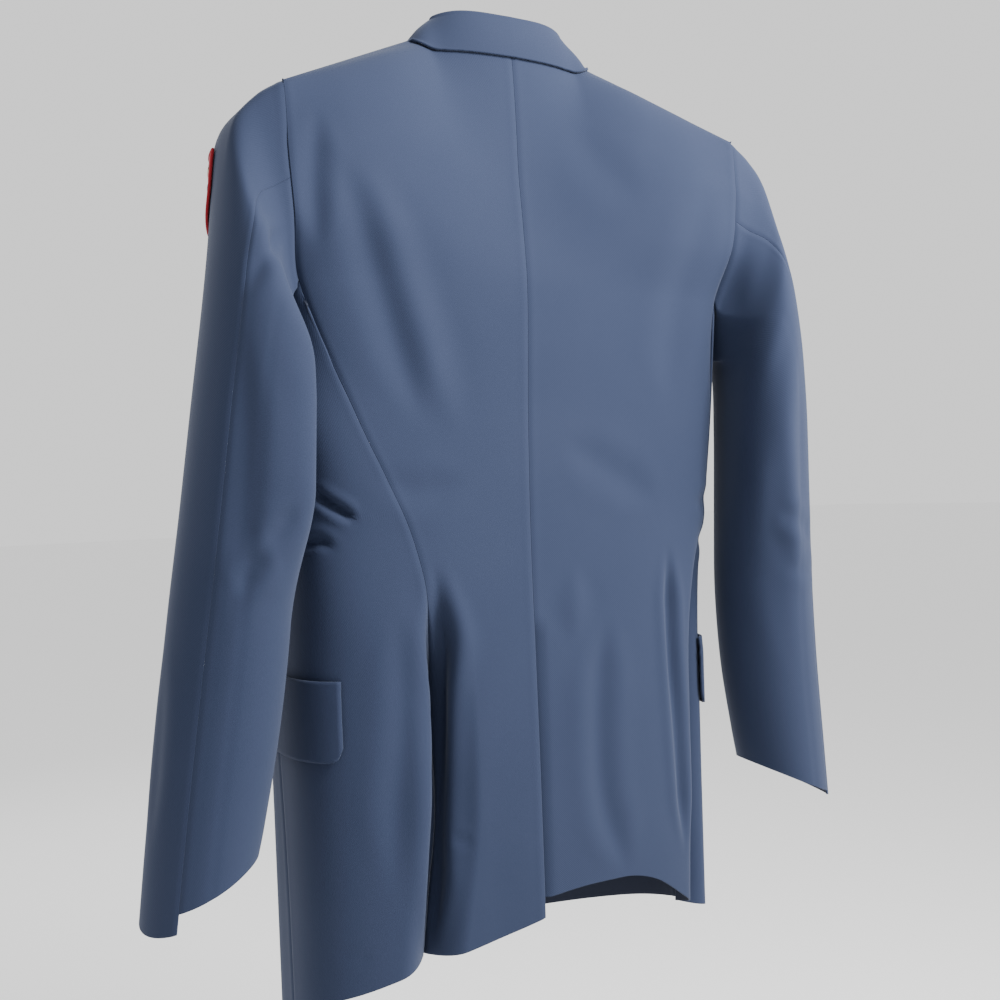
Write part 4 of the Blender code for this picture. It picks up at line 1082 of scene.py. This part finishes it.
def woolFinish(name, colour, shade, sheen, bump=0.00025):
    made, tree, shader = newFinish(name)
    shader.inputs["Sheen Weight"].default_value = sheen
    shader.inputs["Sheen Roughness"].default_value = woolLook["sheenRoughness"]
    shader.inputs["Sheen Tint"].default_value = woolLook["sheenTint"]
    shader.inputs["Specular IOR Level"].default_value = woolLook["specular"]
    woven = tree.nodes.new("ShaderNodeGroup")
    woven.node_tree = weave
    woven.inputs["Colour"].default_value = (*colour, 1)
    woven.inputs["Shade"].default_value = (*shade, 1)
    tree.links.new(woven.outputs["Colour"], shader.inputs["Base Color"])
    tree.links.new(woven.outputs["Roughness"], shader.inputs["Roughness"])
    addRelief(tree, shader, woven.outputs["Height"], bump, woolLook["relief"])
    return made


def metalFinish(name):
    # brushed silver with darker hollows and a fine grain
    made, tree, shader = newFinish(name)
    shader.inputs["Metallic"].default_value = 1.0
    wear = noise(tree, metalLook["wearScale"], 4)
    tone = tree.nodes.new("ShaderNodeValToRGB")
    for element, (place, colour) in zip(tone.color_ramp.elements, (metalLook["dark"], metalLook["light"])):
        element.position = place
        element.color = colour
    tree.links.new(wear, tone.inputs["Fac"])
    tree.links.new(tone.outputs["Color"], shader.inputs["Base Color"])
    tree.links.new(scaled(tree, wear, *metalLook["roughness"]), shader.inputs["Roughness"])
    addRelief(tree, shader, noise(tree, metalLook["grainScale"], 3), metalLook["grain"], metalLook["relief"])
    return made


finishes = {
    "wool": woolFinish("wool", (0.023, 0.032, 0.066), (0.014, 0.021, 0.046), sheen=0.10, bump=0.00010),
    "lining": woolFinish("lining", (0.020, 0.024, 0.040), (0.012, 0.015, 0.028), sheen=0.05, bump=0.00008),
    "patchField": woolFinish("patchField", (0.42, 0.018, 0.028), (0.31, 0.013, 0.021), sheen=0.1),
    "patchBorder": woolFinish("patchBorder", (0.29, 0.012, 0.019), (0.21, 0.009, 0.014), sheen=0.1),
    "patchNavy": woolFinish("patchNavy", (0.010, 0.017, 0.055), (0.007, 0.012, 0.038), sheen=0.1),
    "patchCream": woolFinish("patchCream", (0.62, 0.56, 0.43), (0.52, 0.46, 0.35), sheen=0.1),
    "metal": metalFinish("metal"),
}

print("cloth forms")
panelsOf = {side: bodyPanels(side) for side in (1, -1)}
left, right = openVent(panelsOf[1]["back"], mirrored(panelsOf[-1]["back"]))
panelsOf[-1]["back"] = mirrored(right)
normalsOf = {}
for side, panels in panelsOf.items():
    normalsOf[side] = {name: gridNormals(grid) for name, grid in panels.items() if name != "sleeve"}
    normalsOf[side]["sleeve"] = sleeveNormals(panels["sleeve"])
    joinNormals(panels, normalsOf[side])

sewnEdges = {
    "back": {"first": 1, "last": 1, "top": cloth["shoulderShare"]},
    "side": {"first": 1, "last": 1, "top": 1},
    "front": {"first": 1, "top": cloth["shoulderShare"]},
    "sleeve": {"first": cloth["sleeveShare"], "last": cloth["sleeveShare"], "bottom": 1},
}
clothPieces = {}


def addCloth(node, side, grid, inside="lining", thickness=cloth["thickness"]):
    # the cloth piece that replaces a node, from a grid on the left side's form, turned to its own side
    own = mirrored(grid) if side < 0 else grid
    piece = shellPiece(f"{node}_cloth", own, "wool", flip=side > 0, inside=inside, thickness=thickness)
    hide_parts(node)
    clothPieces[node] = piece


def foldedCloth(node, side, grid, normals, edges):
    own = mirrored(grid) if side < 0 else grid
    addCloth(node, side, sewn(grid, normals, edges, foldOffset(own, node)))


for side, word in ((1, "left"), (-1, "right")):
    panels, normals = panelsOf[side], normalsOf[side]
    for name in ("back", "side", "front"):
        foldedCloth(f"{name}_{word}", side, panels[name], normals[name], sewnEdges[name])
    hind = int(np.argmin(np.abs(yokeRuns[::-1] - sleeve["hindRun"])))
    fore = len(yokeRuns) + panels["side"].shape[1]
    wide = panels["sleeve"].shape[1]
    for name, columns in (
        ("top_sleeve", [*range(fore, wide), *range(1, hind + 1)]),
        ("under_sleeve", [*range(hind, fore + 1)]),
    ):
        part = gradedRows(panels["sleeve"][:, columns], sleeve["columns"])
        out = gradedRows(panels["sleeve"][:, columns], sleeve["columns"], normals["sleeve"][:, columns])
        if name == "under_sleeve":
            part = raisedCuff(part, sleeve["ventRise"][side])
        foldedCloth(f"{name}_{word}", side, part, out, sewnEdges["sleeve"])
underlap = ventUnderlap(left, normalsOf[1]["back"], right)
clothPieces["vent_underlap"] = shellPiece("vent_underlap_cloth", underlap, "wool")

print("lapels, collar and flaps")
forms = {side: layForm(("back", "side", "front"), side) for side in (1, -1)}
thick = cloth["layerThickness"]
for side, word in ((1, "left"), (-1, "right")):
    addCloth(f"lapel_{word}", side, lapelForm(side, forms[side]), "wool", thick)
    addCloth(f"pocket_flap_{word}", side, flapForm(side, forms[side]), "lining", thick)
halves = {side: collarForm(side, forms[side]) for side in (1, -1)}
grid = np.concatenate([mirrored(halves[-1])[:, :0:-1], halves[1]], axis=1)
addCloth("collar", 1, grid, "wool", thick)

print("patch and buttons")
armForm = layForm(("sleeve",), 1)
armMiddles = panelsOf[1]["sleeve"][:, :-1].mean(1)[::-1]


def armMiddle(z):
    return np.array([np.interp(z, armMiddles[:, 2], armMiddles[:, k]) for k in (0, 1)])


def armPoint(angle, z, lift):
    # a point over the left sleeve's cap, in a direction from the middle of the arm
    centre = armMiddle(patch["z"])
    start = Vector([*(centre + (armMiddle(z) - centre) * patch["lean"]), z])
    hit = armForm["tree"].ray_cast(start, Vector((cos(angle), sin(angle), 0)))[0]
    place, normal = nearestOn(armForm, hit)
    return place + normal * lift


patchMiddle = armPoint(radians(patch["angle"]), patch["z"], 0.0)
patchRadius = float(np.linalg.norm(patchMiddle[:2] - armMiddle(patch["z"])))


def patchPoint(across, up, lift):
    # a point of the patch, given from -1 to 1 across its full width and up its height
    angle = radians(patch["angle"]) + across * patch["halfWidth"] / patchRadius
    return armPoint(angle, patch["z"] + up * patch["halfHeight"], lift)


def patchHalf(up):
    point = np.clip((patch["shoulder"] - up) / (1 + patch["shoulder"]), 0, 1)
    return max(float(np.sqrt(1 - point**2)), patch["tip"])


def patchGrid():
    # rows of the shield from its tip up
    grid = []
    for up in np.linspace(-1, 1, patch["rows"]):
        half = patchHalf(up)
        grid.append([patchPoint(w * half, up, patch["lift"]) for w in np.linspace(-1, 1, patch["columns"])])
    return np.array(grid)


def bandGrid(points, width, count=40):
    # a raised embroidered band along a line of (across, up) points
    line = np.array([(a, u, 0.0) for a, u in points])
    line = alongLine(line, np.linspace(0, 1, count))
    step = np.gradient(line, axis=0)
    side = np.stack([-step[:, 1], step[:, 0]], -1) / np.linalg.norm(step[:, :2], axis=1, keepdims=True)
    rows = []
    for w, rise in patch["bandProfile"]:
        at = line[:, :2] + side * w * width / 2
        rows.append([patchPoint(a, u, patch["lift"] + rise * patch["raise"]) for a, u in at])
    return np.array(rows)


def patchOutline(count=140):
    # down the right side, up the left one and back along the top
    lift = patch["lift"] - patch["borderDrop"]
    ups = np.concatenate([np.linspace(1, -1, count), np.linspace(-1, 1, count)[1:]])
    signs = [1] * count + [-1] * (count - 1)
    edge = [patchPoint(sign * patchHalf(up), up, lift) for up, sign in zip(ups, signs)]
    edge += [patchPoint(w, 1.0, lift) for w in np.linspace(-1, 1, 40)[1:-1]]
    return edge


def sewnBorder(name, points, radius, finish):
    # a closed tube through the points
    made = bpy.data.curves.new(name, "CURVE")
    made.dimensions = "3D"
    made.bevel_depth = radius
    made.bevel_resolution = 3
    made.resolution_u = 2
    spline = made.splines.new("POLY")
    spline.points.add(len(points) - 1)
    for spot, point in zip(spline.points, points):
        spot.co = (*point, 1)
    spline.use_cyclic_u = True
    made.materials.append(finishes[finish])
    piece = bpy.data.objects.new(name, made)
    bpy.context.scene.collection.objects.link(piece)
    return piece


ground = shellPiece(
    "shoulder_patch_field", patchGrid(), "patchField", inside="patchField", thickness=patch["thickness"]
)
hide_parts("shoulder_patch")
patchPieces = [ground, sewnBorder("shoulder_patch_border", patchOutline(), patch["border"], "patchBorder")]
bands = {
    "bar_top": ("patchCream", ((-0.74, 0.62), (0.74, 0.62)), 0.13),
    "chevron_high": ("patchNavy", ((-0.70, 0.10), (0.0, 0.36), (0.70, 0.10)), 0.20),
    "chevron_low": ("patchCream", ((-0.62, -0.22), (0.0, 0.02), (0.62, -0.22)), 0.11),
    "chevron_last": ("patchNavy", ((-0.42, -0.55), (0.0, -0.38), (0.42, -0.55)), 0.16),
}
for name, (finish, line, width) in bands.items():
    band = f"shoulder_patch_{name}"
    piece = shellPiece(band, bandGrid(line, width), finish, inside=finish, thickness=patch["bandThickness"])
    patchPieces.append(piece)
for piece in patchPieces:
    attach(piece, "root")


def buttonPiece(name, place, normal):
    # a turned metal button: domed middle, a shallow ring, and a rolled rim
    profile = (
        (0.0, 0.98), (0.16, 0.97), (0.30, 0.93), (0.42, 0.86), (0.50, 0.78), (0.54, 0.72), (0.58, 0.71),
        (0.62, 0.74), (0.66, 0.78), (0.70, 0.76), (0.76, 0.68), (0.80, 0.62), (0.84, 0.63), (0.90, 0.66),
        (0.95, 0.62), (0.99, 0.52), (1.0, 0.38), (0.98, 0.24), (0.92, 0.12), (0.80, 0.04), (0.55, 0.0),
    )
    shape = bmesh.new()
    spots = [shape.verts.new((r * button["radius"], 0, h * button["rise"])) for r, h in profile]
    spots.append(shape.verts.new((0, 0, 0)))
    edges = [shape.edges.new(pair) for pair in zip(spots[:-1], spots[1:])]
    around = {"axis": (0, 0, 1), "cent": (0, 0, 0), "angle": 2 * pi, "steps": button["steps"]}
    bmesh.ops.spin(shape, geom=spots + edges, use_merge=True, **around)
    bmesh.ops.remove_doubles(shape, verts=list(shape.verts), dist=0.00001)
    bmesh.ops.recalc_face_normals(shape, faces=list(shape.faces))
    turn = Vector((0, 0, 1)).rotation_difference(Vector(normal)).to_matrix().to_4x4()
    spot = Vector(place + normal * button["lift"])
    bmesh.ops.transform(shape, matrix=Matrix.Translation(spot) @ turn, verts=list(shape.verts))
    for face in shape.faces:
        face.smooth = True
    mesh = bpy.data.meshes.new(name)
    shape.to_mesh(mesh)
    shape.free()
    mesh.materials.append(finishes["metal"])
    piece = bpy.data.objects.new(name, mesh)
    bpy.context.scene.collection.objects.link(piece)
    return piece


for number, height in enumerate(button["heights"], 1):
    place, normal = nearestOn(forms[1], (0.0, button["inFrontY"], height))
    piece = buttonPiece(f"button_{number}_metal", place, normal)
    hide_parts(f"button_{number}")
    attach(piece, "root")

for piece in clothPieces.values():
    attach(piece, "root")

print("stage, camera and light")
view = {
    "azimuth": 151.78,
    "elevation": 0.43,
    "roll": -2.11,
    "lens": 41.4,
    "sensor": 36,
    "clip": 0.02,
    "across": -0.0091,
    "up": -0.3967,
    "distance": 1.0007,
}
stage = {
    "floorZ": -1.30,
    "floorHalf": 30,
    "pale": (0.93, 0.93, 0.93, 1),
    "roughness": 0.9,
    "skyStrength": 1.1,
}
lightColumns = "spot aim size power"
lights = {
    "key": ((-0.56, 0.86, 0.44), (-0.16, 0, 0.02), 0.45, 44),
    "fill": ((-1.35, 0.95, -0.05), (-0.32, 0, -0.3), 0.9, 28),
    "frontFill": ((0.6, -2.4, 0.8), (0, 0, -0.4), 2.0, 20),
}


def makeCamera():
    a, e, r = radians(view["azimuth"]), radians(view["elevation"]), radians(view["roll"])
    back = Vector((sin(a) * cos(e), -cos(a) * cos(e), sin(e)))
    level = Vector((0, 0, 1)).cross(back).normalized()
    rise = back.cross(level)
    right = level * cos(r) + rise * sin(r)
    up = rise * cos(r) - level * sin(r)
    camera = bpy.data.objects.new("camera", bpy.data.cameras.new("camera"))
    camera.data.lens = view["lens"]
    camera.data.sensor_width = view["sensor"]
    turn = Matrix((right, up, back)).transposed().to_4x4()
    spot = right * view["across"] + up * view["up"] + back * view["distance"]
    camera.matrix_world = Matrix.Translation(spot) @ turn
    camera.data.clip_start = view["clip"]
    bpy.context.scene.collection.objects.link(camera)
    bpy.context.scene.camera = camera


def makeFloor():
    shape = bmesh.new()
    bmesh.ops.create_grid(shape, x_segments=1, y_segments=1, size=stage["floorHalf"])
    bmesh.ops.translate(shape, verts=list(shape.verts), vec=(0, 0, stage["floorZ"]))
    mesh = bpy.data.meshes.new("floor")
    shape.to_mesh(mesh)
    shape.free()
    floor = bpy.data.objects.new("floor", mesh)
    bpy.context.scene.collection.objects.link(floor)
    pale, _, shader = newFinish("paleFloor")
    shader.inputs["Base Color"].default_value = stage["pale"]
    shader.inputs["Roughness"].default_value = stage["roughness"]
    mesh.materials.append(pale)


def addLight(name, row):
    light = named(lightColumns, row)
    lamp = bpy.data.lights.new(name, "AREA")
    lamp.size = light["size"]
    lamp.energy = light["power"]
    made = bpy.data.objects.new(name, lamp)
    made.location = light["spot"]
    made.rotation_euler = (Vector(light["aim"]) - made.location).to_track_quat("-Z", "Y").to_euler()
    bpy.context.scene.collection.objects.link(made)


makeCamera()
makeFloor()
for name, row in lights.items():
    addLight(name, row)
world = bpy.data.worlds.new("studio")
world.use_nodes = True
world.node_tree.nodes["Background"].inputs["Color"].default_value = (1, 1, 1, 1)
world.node_tree.nodes["Background"].inputs["Strength"].default_value = stage["skyStrength"]
bpy.context.scene.world = world
